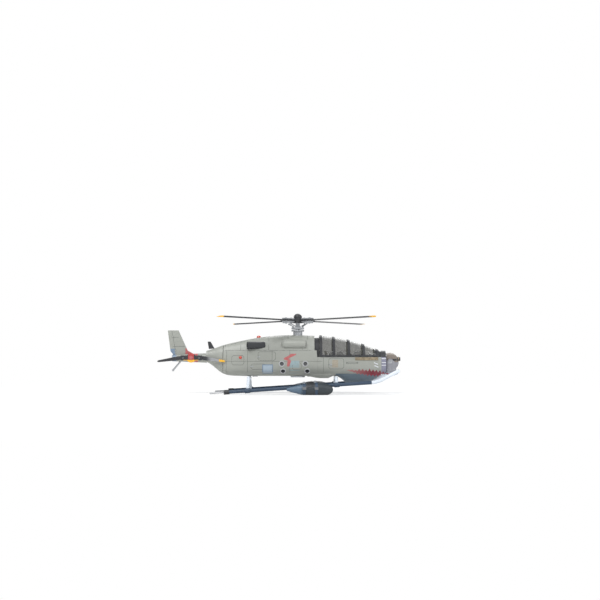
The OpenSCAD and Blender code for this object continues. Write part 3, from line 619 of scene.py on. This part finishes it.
def side_line(side, a, b):
    """(point, normal) pairs along a straight line in x and z on the hull's side."""
    n = max(int((Vector(b) - Vector(a)).length / (0.7 * MM)), 2)
    hits = [on_side(side, x, z) for x, z in zip(spread(a[0], b[0], n), spread(a[1], b[1], n))]
    return [h for h in hits if h[0] is not None]


def outline(x0, z0, x1, z1, cut=0.7 * MM):
    """The corners of a panel with its corners cut off."""
    return [(x0 + cut, z0), (x1 - cut, z0), (x1, z0 + cut), (x1, z1 - cut), (x1 - cut, z1),
            (x0 + cut, z1), (x0, z1 - cut), (x0, z0 + cut), (x0 + cut, z0)]


def dome(p, n, r, h, sides=10):
    """A small round head on a surface."""
    u = n.orthogonal().normalized()
    v = n.cross(u)
    verts = []
    for radius, height in ((r, 0.0), (r, 0.35 * h), (0.7 * r, 0.85 * h)):
        verts += circle(p + n * height, u, v, radius, sides)
    verts.append(p + n * h)
    faces = [tuple(range(sides - 1, -1, -1))]
    for ring in (0, sides):
        faces += [(ring + i, ring + (i + 1) % sides, ring + sides + (i + 1) % sides, ring + sides + i)
                  for i in range(sides)]
    faces += [(2 * sides + i, 2 * sides + (i + 1) % sides, 3 * sides) for i in range(sides)]
    return verts, faces


def block(centre, size, axes=None, chamfer=0.0):
    """A chamfered block. axes are its three directions."""
    work = bmesh.new()
    bmesh.ops.create_cube(work, size=1)
    bmesh.ops.scale(work, vec=size, verts=work.verts)
    if chamfer:
        bmesh.ops.bevel(work, geom=list(work.edges), offset=chamfer, segments=2, profile=0.6,
                        affect="EDGES")
    basis = Matrix(axes).transposed() if axes else Matrix.Identity(3)
    verts = [Vector(centre) + basis @ v.co for v in work.verts]
    faces = [tuple(v.index for v in f.verts) for f in work.faces]
    work.free()
    return verts, faces


# ---- The CAD nodes ----

SHELLS = ["fuselage_left", "fuselage_right", "engine_cowling", "belly_tub", "float_pod_left",
          "float_pod_right", "skid_toe_left", "skid_toe_right", "canopy_glass"]
MATERIAL_OF = {
    "tail_boom": "boom_paint",
    "tail_fin": "fin_paint",
    "turret_bracket": "bracket_paint",
    "rotor_blades": "blade_plastic",
    "tail_blades": "tail_plastic",
    "tail_hub": "hub_plastic",
    "port_glasses": "port_plastic",
    "port_rims": "pale_trim",
    "turret_yoke": "yoke_plastic",
    "skid_toe_left": "toe_plastic",
    "skid_toe_right": "toe_plastic",
    "cross_tube_front": "toe_plastic",
    "cross_tube_rear": "toe_plastic",
    "skid_heel_left": "heel_plastic",
    "skid_heel_right": "heel_plastic",
}
BEVELS = {
    "nose_collar": 0.16, "windscreen_surround": 0.2, "turret_bracket": 0.22, "turret_yoke": 0.16,
    "crew_seats": 0.3, "instrument_panels": 0.25, "rotor_hub": 0.14, "blade_grips": 0.1,
    "tail_hub": 0.16, "tail_fin": 0.3, "tailplane": 0.24, "tail_gearbox": 0.14, "antenna": 0.12,
    "mast_bearing": 0.16, "swashplate_fixed": 0.12, "swashplate_turning": 0.12, "rotor_cap": 0.12,
    "skid_clamps_left": 0.14, "skid_clamps_right": 0.14, "pod_straps_left": 0.07,
    "pod_straps_right": 0.07, "gun_barrel": 0.1, "exhaust_left": 0.08, "exhaust_right": 0.08,
    "stand_socket": 0.12, "tail_blades": 0.12, "rotor_blades": 0.08, "port_rims": 0.06,
    "assembly_screws": 0.05, "air_intake_left": 0.12, "air_intake_right": 0.12,
    "skid_heel_left": 0.12, "skid_heel_right": 0.12, "sill_strips": 0.06, "canopy_frame": 0.05,
}


def dress_nodes():
    """Dresses every CAD node with its shading skin and its bevel."""
    curved, sharp = welded_skin(SHELL_ANGLE), welded_skin(SHARP_ANGLE)
    for node in NODES:
        dressed(node, curved if node in SHELLS else sharp, BEVELS.get(node, 0.0) * MM)


# ---- Paint and panel detail on the hull ----

def tooth(v):
    """A sharp spike from 0 to 1 and back over each unit."""
    return (1 - abs(2 * (v - math.floor(v)) - 1)) ** 1.3


def eased(value, pairs):
    """A smooth value read off (place, value) pairs."""
    for (a, va), (b, vb) in zip(pairs, pairs[1:]):
        if value <= b:
            u = max((value - a) / (b - a), 0)
            return va + (vb - va) * u * u * (3 - 2 * u)
    return pairs[-1][1]


def zigzag_band(side):
    """The red band on the nose: a pointed tail, spiked edges, and a front end under the ball."""
    back, front = hull_x(0.197), TURRET.x + 1.5 * MM
    collar_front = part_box("nose_collar")[1].x - 0.05 * MM
    length = front - back
    lines = [(0, 2.67), (0.25, 1.97), (0.56, 1.45), (0.78, 1.04), (1, 0.98)]
    heights = [(0, 0.12), (0.13, 0.75), (0.28, 1.6), (0.56, 2.05), (0.77, 1.45), (0.86, 0.55), (1, 0.12)]
    pitch = 1.58 * MM
    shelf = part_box("turret_bracket")[1].z - 0.12 * MM

    def ragged(x, phase):
        return 0.8 + 0.2 * math.sin(2.3 * math.floor((x - back) / pitch) + phase)

    def centre(x):
        return BELLY + eased((x - back) / length, lines) * MM

    def half(x):
        return eased((x - back) / length, heights) * MM

    def low(x):
        edge = centre(x) - half(x) * (0.4 + 0.6 * tooth((x - back) / pitch + 0.5) * ragged(x, 2.1))
        return lowest_on_side(side, x, edge)

    def high(x):
        edge = centre(x) + half(x) * (0.28 + 0.72 * tooth((x - back) / pitch) * ragged(x, 0.0))
        return min(edge, shelf) if x > collar_front else edge

    painted_patch("zigzag_" + side, side, "crimson_paint", spread(back, collar_front, 210), low, high, 6)
    under = spread(collar_front + 0.1 * MM, front, 24)
    painted_patch("zigzag_end_" + side, side, "crimson_paint", under, low, high, 2)


def flat_patch(name, side, material, x0, x1, z0, z1):
    """A rectangle of paint on the hull's side."""
    painted_patch(name + "_" + side, side, material, spread(x0, x1, 8), lambda x: z0, lambda x: z1)


def placed_patch(name, side, material, place, across=6, along=24, thickness=0.04 * MM):
    """Paint on the hull's side. place gives x and z from two numbers that run from 0 to 1."""
    grid = [[on_side(side, *place(u, v)) for v in spread(0, 1, along)] for u in spread(0, 1, across)]
    closed_piece(name + "_" + side, *closed_sheet(grid, thickness), "airframe", material, "body_paint")


def red_flash(side):
    """A faded red flash that bends back and forth as it comes down the hull."""
    route = [(0, 6.3), (0.42, 3.0), (0.55, 4.4), (1, 3.9)]
    widths = [(0, 2.6), (0.4, 2.3), (0.6, 1.5), (1, 1.1)]

    def place(u, v):
        x = MAST.x + (eased(v, route) - 8.2) * MM + (u - 0.5) * eased(v, widths) * MM
        return x, BELLY + (10.0 - 5.6 * v) * MM
    placed_patch("red_flash", side, "red_paint", place)


def hull_panels():
    """Corner lists of the panel outlines and frames, in x and z."""
    low = BELLY + 0.11 * BODY_H
    lines = [
        outline(hull_x(0.30), low + 1.2 * MM, hull_x(0.215), SILL - 0.5 * MM),
        outline(hull_x(0.20), low + 3.6 * MM, hull_x(0.135), SILL - 2.3 * MM),
        outline(hull_x(0.505), low + 0.8 * MM, hull_x(0.455), low + 4.0 * MM),
        outline(hull_x(0.74), low + 1.0 * MM, hull_x(0.655), low + 3.4 * MM),
        outline(hull_x(0.70), low + 5.0 * MM, hull_x(0.60), COWL_EDGE - 0.6 * MM),
        outline(hull_x(0.85), low + 3.0 * MM, hull_x(0.78), low + 7.2 * MM),
        [(hull_x(0.93), low + 4.6 * MM), (hull_x(0.335), low + 4.6 * MM)],
        [(hull_x(0.89), COWL_EDGE), (hull_x(0.39), COWL_EDGE)],
    ]
    for t in (0.33, 0.52, 0.62, 0.76, 0.88):
        top = COWL_EDGE if t > 0.39 else SILL
        lines.append([(hull_x(t), BELLY + 1.4 * MM), (hull_x(t), top - 0.1 * MM)])
    for t in (0.45, 0.64, 0.8):
        lines.append([(hull_x(t), COWL_EDGE + 0.1 * MM), (hull_x(t), COWL_EDGE + 2.6 * MM)])
    return lines


def panel_lines(side):
    """Thin dark lines along the panel outlines."""
    parts = []
    for corners in hull_panels():
        for a, b in zip(corners, corners[1:]):
            points = side_line(side, a, b)
            if len(points) > 1:
                parts.append(ribbon(points, LINE_WIDTH))
    joined("panel_lines_" + side, parts, "airframe", "panel_line", "body_paint")


def rivets(side):
    """Rows of small heads just beside the panel outlines."""
    parts = []
    for corners in hull_panels():
        for a, b in zip(corners, corners[1:]):
            reach = (Vector(b) - Vector(a)).length
            if reach < 1.5 * MM:
                continue
            along = (Vector(b) - Vector(a)).normalized()
            aside = Vector((-along.y, along.x)) * 0.42 * MM
            for k in range(int(reach / (1.15 * MM))):
                at = Vector(a) + along * (k + 0.5) * 1.15 * MM + aside
                p, n = on_side(side, at.x, at.y)
                if p is not None:
                    parts.append(dome(p, n, 0.13 * MM, 0.06 * MM, 8))
    joined("rivets_" + side, parts, "airframe", "body_paint", "body_paint")


def louvres(side):
    """Three pale bars on the nose collar, and two that slant down behind it."""
    parts = []
    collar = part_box("nose_collar")
    x = (hull_x(0) + collar[1].x) / 2
    for share in (0.955, 0.73, 0.57):
        p, n = on_side(side, x, collar[0].z + (collar[1].z - collar[0].z) * share - 0.35 * MM)
        parts.append(block(p + n * 0.03 * MM, (1.95 * MM, 0.3 * MM, 0.36 * MM), None, 0.08 * MM))
    lean = math.radians(24)
    axes = (Vector((math.cos(lean), 0, -math.sin(lean))), Vector((0, 1, 0)),
            Vector((math.sin(lean), 0, math.cos(lean))))
    for t, z in ((0.031, 0.305), (0.029, 0.235)):
        p, n = on_side(side, hull_x(t), BELLY + z * BODY_H)
        parts.append(block(p + n * 0.03 * MM, (2.0 * MM, 0.3 * MM, 0.4 * MM), axes, 0.08 * MM))
    joined("louvres_" + side, parts, "airframe", "white_trim", "white_trim")


def handles(side):
    """Small bar handles on the door and on two access panels."""
    parts = []
    for t, z in ((0.29, BELLY + 5.2 * MM), (0.735, BELLY + 4.4 * MM), (0.695, BELLY + 8.6 * MM)):
        p, n = on_side(side, hull_x(t), z)
        parts.append(block(p + n * 0.12 * MM, (1.3 * MM, 0.24 * MM, 0.34 * MM), None, 0.09 * MM))
    joined("handles_" + side, parts, "airframe", "steel", "steel")


def top_lines():
    """Panel lines across and along the cowling."""
    routes = []
    for t in (0.42, 0.53, 0.64, 0.8, 0.89):
        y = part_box("engine_cowling")[1].y * (0.72 if t < 0.7 else 0.45)
        routes.append([Vector((hull_x(t), v, ABOVE)) for v in spread(-y, y, 26)])
    for y in (-2.4 * MM, 2.4 * MM):
        routes.append([Vector((x, y, ABOVE)) for x in spread(hull_x(0.64), hull_x(0.86), 30)])
    parts = [ribbon(traced(TOP_SKIN, route, DOWN), LINE_WIDTH) for route in routes]
    joined("cowling_lines", parts, "airframe", "panel_line", "body_paint")


def build_hull_detail():
    """Paint, lines and small fittings on the hull, the fin and the tailplane."""
    low = BELLY + 0.07 * BODY_H
    for side in SIDES:
        zigzag_band(side)
        blue = [hull_x(0.676), hull_x(0.615), low - 0.1 * MM, low + 3.95 * MM]
        flat_patch("blue_frame", side, "blue_grey_paint", *blue)
        rim = 0.42 * MM
        inner = (blue[0] + rim, blue[1] - rim, blue[2] + rim, blue[3] - rim)
        painted_patch("blue_field_" + side, side, "pale_blue_paint", spread(*inner[:2], 8),
                      lambda x: inner[2], lambda x: inner[3], thickness=0.055 * MM)
        flat_patch("tan_mark", side, "tan_paint", hull_x(0.28), hull_x(0.247),
                   low + 2.6 * MM, low + 6.0 * MM)
        flat_patch("green_mark", side, "green_blue_paint", hull_x(0.522), hull_x(0.466),
                   low, low + 5.6 * MM)
        red_flash(side)
        panel_lines(side)
        rivets(side)
        louvres(side)
        handles(side)
    top_lines()
    fin_lines()


def lines_on(node, ends, place, aim):
    """Thin lines on one face of a node, between ends in mm. place gives the rays' starts."""
    skin = surface_of(node)
    parts = []
    for a, b in ends:
        starts = [place(u * MM, v * MM) for u, v in zip(spread(a[0], b[0], 12), spread(a[1], b[1], 12))]
        points = traced(skin, starts, aim)
        if len(points) > 1:
            parts.append(ribbon(points, LINE_WIDTH))
    return parts


def fin_lines():
    """The rudder's and the elevator's hinge lines, with a few small hinge covers."""
    fin_ends = [((-7.7, 2.2), (-9.7, 12.2)), ((-3.6, 5.2), (-9.1, 5.2)), ((-6.6, 9.4), (-9.4, 9.4))]
    plane_ends = [((-7.4, 0.9), (-8.0, 9.8)), ((-4.6, 4.6), (-9.2, 4.6))]
    parts, covers = [], []
    for s in (-1, 1):
        parts += lines_on("tail_fin", fin_ends, lambda x, z: Vector((TAIL.x + x, s * CLEAR, TAIL.z + z)),
                          Vector((0, -s, 0)))
        for z in (3.4, 6.6, 9.8):
            x = TAIL.x + (-7.7 - 2.0 * (z - 2.2) / 10) * MM
            at = Vector((x, s * 0.62 * MM, TAIL.z + z * MM))
            covers.append(block(at, (0.9 * MM, 0.16 * MM, 0.34 * MM), None, 0.05 * MM))
    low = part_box("tailplane")[0]
    for s in (-1, 1):
        parts += lines_on("tailplane", plane_ends,
                          lambda x, y: Vector((TAIL.x + x, low.y + y, low.z + s * CLEAR)),
                          Vector((0, 0, -s)))
    joined("fin_lines", parts, "airframe", "panel_line", "body_paint")
    joined("hinge_covers", covers, "airframe", "body_paint", "body_paint")


# ---- Fittings ----

def sensor_window(name, az0, az1, el0, el1):
    """A thin curved window on the turret's ball, between azimuths and elevations in degrees."""
    grid = []
    for el in spread(el0, el1, 8):
        row = []
        for az in spread(az0, az1, 24):
            a, e = math.radians(az), math.radians(el)
            n = Vector((math.cos(a) * math.cos(e), math.sin(a) * math.cos(e), math.sin(e)))
            row.append((TURRET + n * BALL_R, n))
        grid.append(row)
    closed_piece("sensor_window_" + name, *closed_sheet(grid, 0.09 * MM), "turret_ball", "lens_glass",
                 "black_plastic")


def build_turret_detail():
    """Windows, slots and a barrel ring on the ball, and bolts on the yoke."""
    for window in (("low", -26, 26, -30, -8), ("right", -36, -16, 4, 27), ("left", 16, 36, 4, 27)):
        sensor_window(*window)
    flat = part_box("turret_ball")[1].y
    half = 0.66 * BALL_R - 0.15 * MM
    parts = []
    for s in (-1, 1):
        at = TURRET + Vector((1.85 * MM, s * (half + 0.02 * MM), 0.95 * MM))
        parts.append(block(at, (2.3 * MM, 0.16 * MM, 0.78 * MM), None, 0.06 * MM))
    joined("side_slots", parts, "turret_ball", "black_plastic", "black_plastic")
    muzzle = Vector((TURRET.x + BALL_R - 0.12 * MM, 0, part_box("gun_barrel")[0].z + 0.9 * MM))
    ring = circle(muzzle, Vector((0, 1, 0)), Vector((0, 0, 1)), 0.98 * MM, 32)
    joined("barrel_ring", [closed_ring(ring, 0.16 * MM)], "turret_ball", "bronze_trim", "bronze_trim")
    yoke = surface_of("turret_yoke")
    heads = []
    for s in (-1, 1):
        n = Vector((0, s, 0))
        pivot = Vector((TURRET.x, s * (flat - 0.02 * MM), TURRET.z))
        heads.append(dome(pivot, n, 0.82 * MM, 0.16 * MM, 20))
        starts = [Vector((TURRET.x + dx * MM, 0, TURRET.z - 3.4 * MM)) + n * 2 * CLEAR
                  for dx in (-1.6, 1.6)]
        heads += [dome(at, out, 0.28 * MM, 0.12 * MM, 12) for at, out in traced(yoke, starts, -n)]
    joined("turret_bolts", heads, "turret_yoke", "steel", "steel")


def closed_ring(points, r, sides=10):
    """Vertices and faces of a round ring through points."""
    verts, faces, n = [], [], len(points)
    centre = sum(points, Vector()) / n
    axis = (points[0] - centre).cross(points[1] - centre).normalized()
    for p in points:
        out = (p - centre).normalized()
        for k in range(sides):
            a = 2 * math.pi * k / sides
            verts.append(p + (out * math.cos(a) + axis * math.sin(a)) * r)
    for i in range(n):
        for k in range(sides):
            a, b = i * sides + k, i * sides + (k + 1) % sides
            c, d = ((i + 1) % n) * sides + (k + 1) % sides, ((i + 1) % n) * sides + k
            faces.append((a, b, c, d))
    return verts, faces


def build_nose_lamps():
    """Two small pale lamps low on the windscreen's surround, one on each side."""
    low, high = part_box("windscreen_surround")
    parts = []
    for s in (-1, 1):
        at = Vector((high.x - 0.02 * MM, s * 3.45 * MM, low.z + 1.2 * MM))
        parts.append(dome(at, Vector((1, 0, 0)), 0.48 * MM, 0.22 * MM, 18))
    joined("nose_lamps", parts, "airframe", "white_trim", "white_trim")


def build_intake_slats():
    """Dark level slats across each intake's mouth."""
    mouth_r = 1.6 * MM
    half_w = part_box("fuselage_left")[1].y
    for side, s in SIDES.items():
        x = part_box("air_intake_" + side)[1].x - 0.8 * MM
        parts = []
        for drop in (-1.05, -0.35, 0.35, 1.05):
            at = Vector((x, s * 0.78 * half_w, BELLY + 0.77 * BODY_H + drop * MM))
            width = 2 * math.sqrt(mouth_r ** 2 - (drop * MM) ** 2)
            parts.append(block(at, (0.9 * MM, width, 0.2 * MM), None, 0.05 * MM))
        joined("intake_slats_" + side, parts, "airframe", "black_plastic", "black_plastic")


def build_pod_detail():
    """Buckles on the straps, ribs between them, and a moulding seam along each pod's top."""
    for side, s in SIDES.items():
        straps, pod = surface_of("pod_straps_" + side), surface_of("float_pod_" + side)
        strap_low, strap_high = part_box("pod_straps_" + side)
        low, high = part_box("float_pod_" + side)
        y, half = (low.y + high.y) / 2, (high.y - low.y) / 2
        strap_xs = (strap_low.x + 0.6 * MM, strap_high.x - 0.6 * MM)
        starts = [Vector((x, s * OUTSIDE, 2.9 * MM)) for x in strap_xs]
        buckles = [block(at + n * 0.1 * MM, (1.7 * MM, 0.4 * MM, 1.1 * MM), None, 0.1 * MM)
                   for at, n in traced(straps, starts, Vector((0, -s, 0)))]
        joined("buckles_" + side, buckles, "airframe", "dull_steel", "steel")
        ribs = []
        for x in spread(strap_low.x + 2.1 * MM, strap_high.x - 2.1 * MM, 4):
            starts = [Vector((x, y + v * half * 0.9, 2 * CLEAR)) for v in spread(-0.92, 0.92, 16)]
            ribs.append(ribbon(traced(pod, starts, DOWN), 0.42 * MM, 0.22 * MM))
        joined("pod_ribs_" + side, ribs, "airframe", "black_plastic", "pod_plastic")
        starts = [Vector((x, y, 2 * CLEAR)) for x in spread(low.x + 0.6 * MM, high.x - 0.4 * MM, 60)]
        seam = ribbon(traced(pod, starts, DOWN), 0.18 * MM, 0.05 * MM)
        joined("pod_seam_" + side, [seam], "airframe", "pod_plastic", "pod_plastic")


def build_rotor_detail():
    """Nuts on the grips, and a cap and bolts on the tail hub."""
    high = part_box("blade_grips")[1]
    nuts = []
    for quarter in range(4):
        turn = Matrix.Rotation(math.radians(45 + 90 * quarter), 3, "Z")
        for r in (4.2, 7.6):
            at = turn @ Vector((r * MM, 0, 0))
            place = Vector((MAST.x + at.x, at.y, high.z - 0.25 * MM))
            nuts.append(dome(place, Vector((0, 0, 1)), 0.62 * MM, 0.3 * MM, 6))
    joined("grip_nuts", nuts, "main_rotor", "steel", "steel")
    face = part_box("tail_hub")[0].y
    outwards = Vector((0, -1, 0))
    cap = dome(Vector((TAIL.x, face + 0.02 * MM, TAIL.z)), outwards, 0.95 * MM, 0.5 * MM, 20)
    joined("tail_cap", [cap], "tail_rotor", "red_paint", "black_plastic")
    bolts = [dome(Vector((TAIL.x + dx * MM, face + 0.27 * MM, TAIL.z)), outwards, 0.4 * MM, 0.24 * MM, 6)
             for dx in (-3.6, 3.6)]
    joined("tail_bolts", bolts, "tail_rotor", "dull_steel", "steel")


def build_cockpit_detail():
    """Pale dials on the panels and round side speakers, seen through the smoked canopy."""
    dials = []
    low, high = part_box("instrument_panels")
    for x, ys in ((high.x, (-2, 0, 2)), (low.x + 1.4 * MM, (-2.4, -0.8, 0.8, 2.4))):
        for y in ys:
            at = Vector((x - 1.42 * MM, y * MM, low.z + 2.6 * MM))
            dials.append(dome(at, Vector((-1, 0, 0)), 0.5 * MM, 0.1 * MM, 16))
    joined("dials", dials, "airframe", "white_trim", "white_trim")
    glass = surface_of("canopy_glass")
    rings = []
    for s in SIDES.values():
        starts = [Vector((hull_x(t), s * OUTSIDE, SILL + 1.5 * MM)) for t in (0.275, 0.229, 0.13)]
        for at, n in traced(glass, starts, Vector((0, -s, 0))):
            back = at - n * 1.35 * MM
            u = n.orthogonal().normalized()
            rings.append(closed_ring(circle(back, u, n.cross(u), 1.05 * MM, 28), 0.28 * MM))
            rings.append(dome(back, n, 0.42 * MM, 0.2 * MM, 14))
    joined("side_speakers", rings, "airframe", "white_trim", "seat_plastic")


# ---- Stage ----

def build_floor():
    """A pale floor that keeps the model's shadow and fades to white away from it."""
    mesh = bpy.data.meshes.new("floor")
    reach = 6.0
    corners = [(-reach, -reach, 0), (reach, -reach, 0), (reach, reach, 0), (-reach, reach, 0)]
    mesh.from_pydata(corners, [], [(0, 1, 2, 3)])
    floor = bpy.data.objects.new("floor", mesh)
    bpy.context.scene.collection.objects.link(floor)
    mat = bpy.data.materials.new("floor")
    mat.use_nodes = True
    tree = mat.node_tree
    tree.nodes.clear()
    out = tree.nodes.new("ShaderNodeOutputMaterial")
    cloth = tree.nodes.new("ShaderNodeBsdfDiffuse")
    cloth.inputs["Color"].default_value = (0.86, 0.86, 0.86, 1)
    white = tree.nodes.new("ShaderNodeEmission")
    white.inputs["Strength"].default_value = 1.0
    mix = tree.nodes.new("ShaderNodeMixShader")
    coords = tree.nodes.new("ShaderNodeTexCoord")
    far = tree.nodes.new("ShaderNodeVectorMath")
    far.operation = "LENGTH"
    fade = tree.nodes.new("ShaderNodeMapRange")
    fade.interpolation_type = "SMOOTHSTEP"
    near, distant, least, most = 0.06, 0.2, 0.45, 1.0
    for place, number in enumerate((near, distant, least, most), 1):
        fade.inputs[place].default_value = number
    seen = seen_directly(tree)
    factor = tree.nodes.new("ShaderNodeMath")
    factor.operation = "MULTIPLY"
    tree.links.new(coords.outputs["Object"], far.inputs[0])
    tree.links.new(far.outputs["Value"], fade.inputs[0])
    tree.links.new(fade.outputs[0], factor.inputs[0])
    tree.links.new(seen, factor.inputs[1])
    tree.links.new(factor.outputs[0], mix.inputs[0])
    tree.links.new(cloth.outputs[0], mix.inputs[1])
    tree.links.new(white.outputs[0], mix.inputs[2])
    tree.links.new(mix.outputs[0], out.inputs["Surface"])
    mesh.materials.append(mat)


def seen_directly(tree):
    """1 for rays from the camera and rays that passed through clear plastic."""
    path = tree.nodes.new("ShaderNodeLightPath")
    total = tree.nodes.new("ShaderNodeMath")
    total.operation = "MAXIMUM"
    tree.links.new(path.outputs["Is Camera Ray"], total.inputs[0])
    tree.links.new(path.outputs["Is Transmission Ray"], total.inputs[1])
    return total.outputs[0]


def build_world():
    """Soft cool light from all round, and plain white where the backdrop is seen."""
    world = bpy.data.worlds.new("studio")
    bpy.context.scene.world = world
    world.use_nodes = True
    tree = world.node_tree
    tree.nodes.clear()
    out = tree.nodes.new("ShaderNodeOutputWorld")
    soft = tree.nodes.new("ShaderNodeBackground")
    soft.inputs["Color"].default_value = (0.95, 0.975, 1.0, 1)
    soft.inputs["Strength"].default_value = 0.62
    white = tree.nodes.new("ShaderNodeBackground")
    white.inputs["Strength"].default_value = 1.0
    white.inputs["Color"].default_value = (1, 1, 1, 1)
    mix = tree.nodes.new("ShaderNodeMixShader")
    tree.links.new(seen_directly(tree), mix.inputs[0])
    tree.links.new(soft.outputs[0], mix.inputs[1])
    tree.links.new(white.outputs[0], mix.inputs[2])
    tree.links.new(mix.outputs[0], out.inputs["Surface"])


def soft_lamp(name, place, power, size):
    """A round area light that points at the model."""
    light = bpy.data.lights.new(name, "AREA")
    light.shape = "DISK"
    light.size = size
    light.energy = power
    lamp = bpy.data.objects.new(name, light)
    bpy.context.scene.collection.objects.link(lamp)
    lamp.location = place
    lamp.rotation_mode = "QUATERNION"
    lamp.rotation_quaternion = (Vector((0, 0, 0.015)) - Vector(place)).to_track_quat("-Z", "Y")


def build_camera():
    """A long look along +Y from close to the ground, with the model below the centre."""
    away, height, aside, aim = 0.3215, 0.015, 0.0092, 0.0428
    data = bpy.data.cameras.new("camera")
    data.lens = 42
    data.sensor_width = 36
    data.clip_start = 0.01
    data.clip_end = 50
    camera = bpy.data.objects.new("camera", data)
    bpy.context.scene.collection.objects.link(camera)
    camera.location = (aside, -away, height)
    camera.rotation_mode = "QUATERNION"
    camera.rotation_quaternion = (Vector((aside, 0, aim)) - camera.location).to_track_quat("-Z", "Y")
    bpy.context.scene.camera = camera


def build_stage():
    """The floor, the light, the view transform and the camera."""
    build_floor()
    build_world()
    soft_lamp("key", (-0.25, -0.45, 0.6), 4.2, 0.5)
    soft_lamp("fill", (0.5, -0.3, 0.35), 1.5, 0.5)
    soft_lamp("back", (0.1, 0.5, 0.5), 2.0, 0.5)
    bpy.context.scene.view_settings.view_transform = "Standard"
    build_camera()


dress_nodes()
build_hull_detail()
build_turret_detail()
build_nose_lamps()
build_intake_slats()
build_pod_detail()
build_rotor_detail()
build_cockpit_detail()
build_stage()
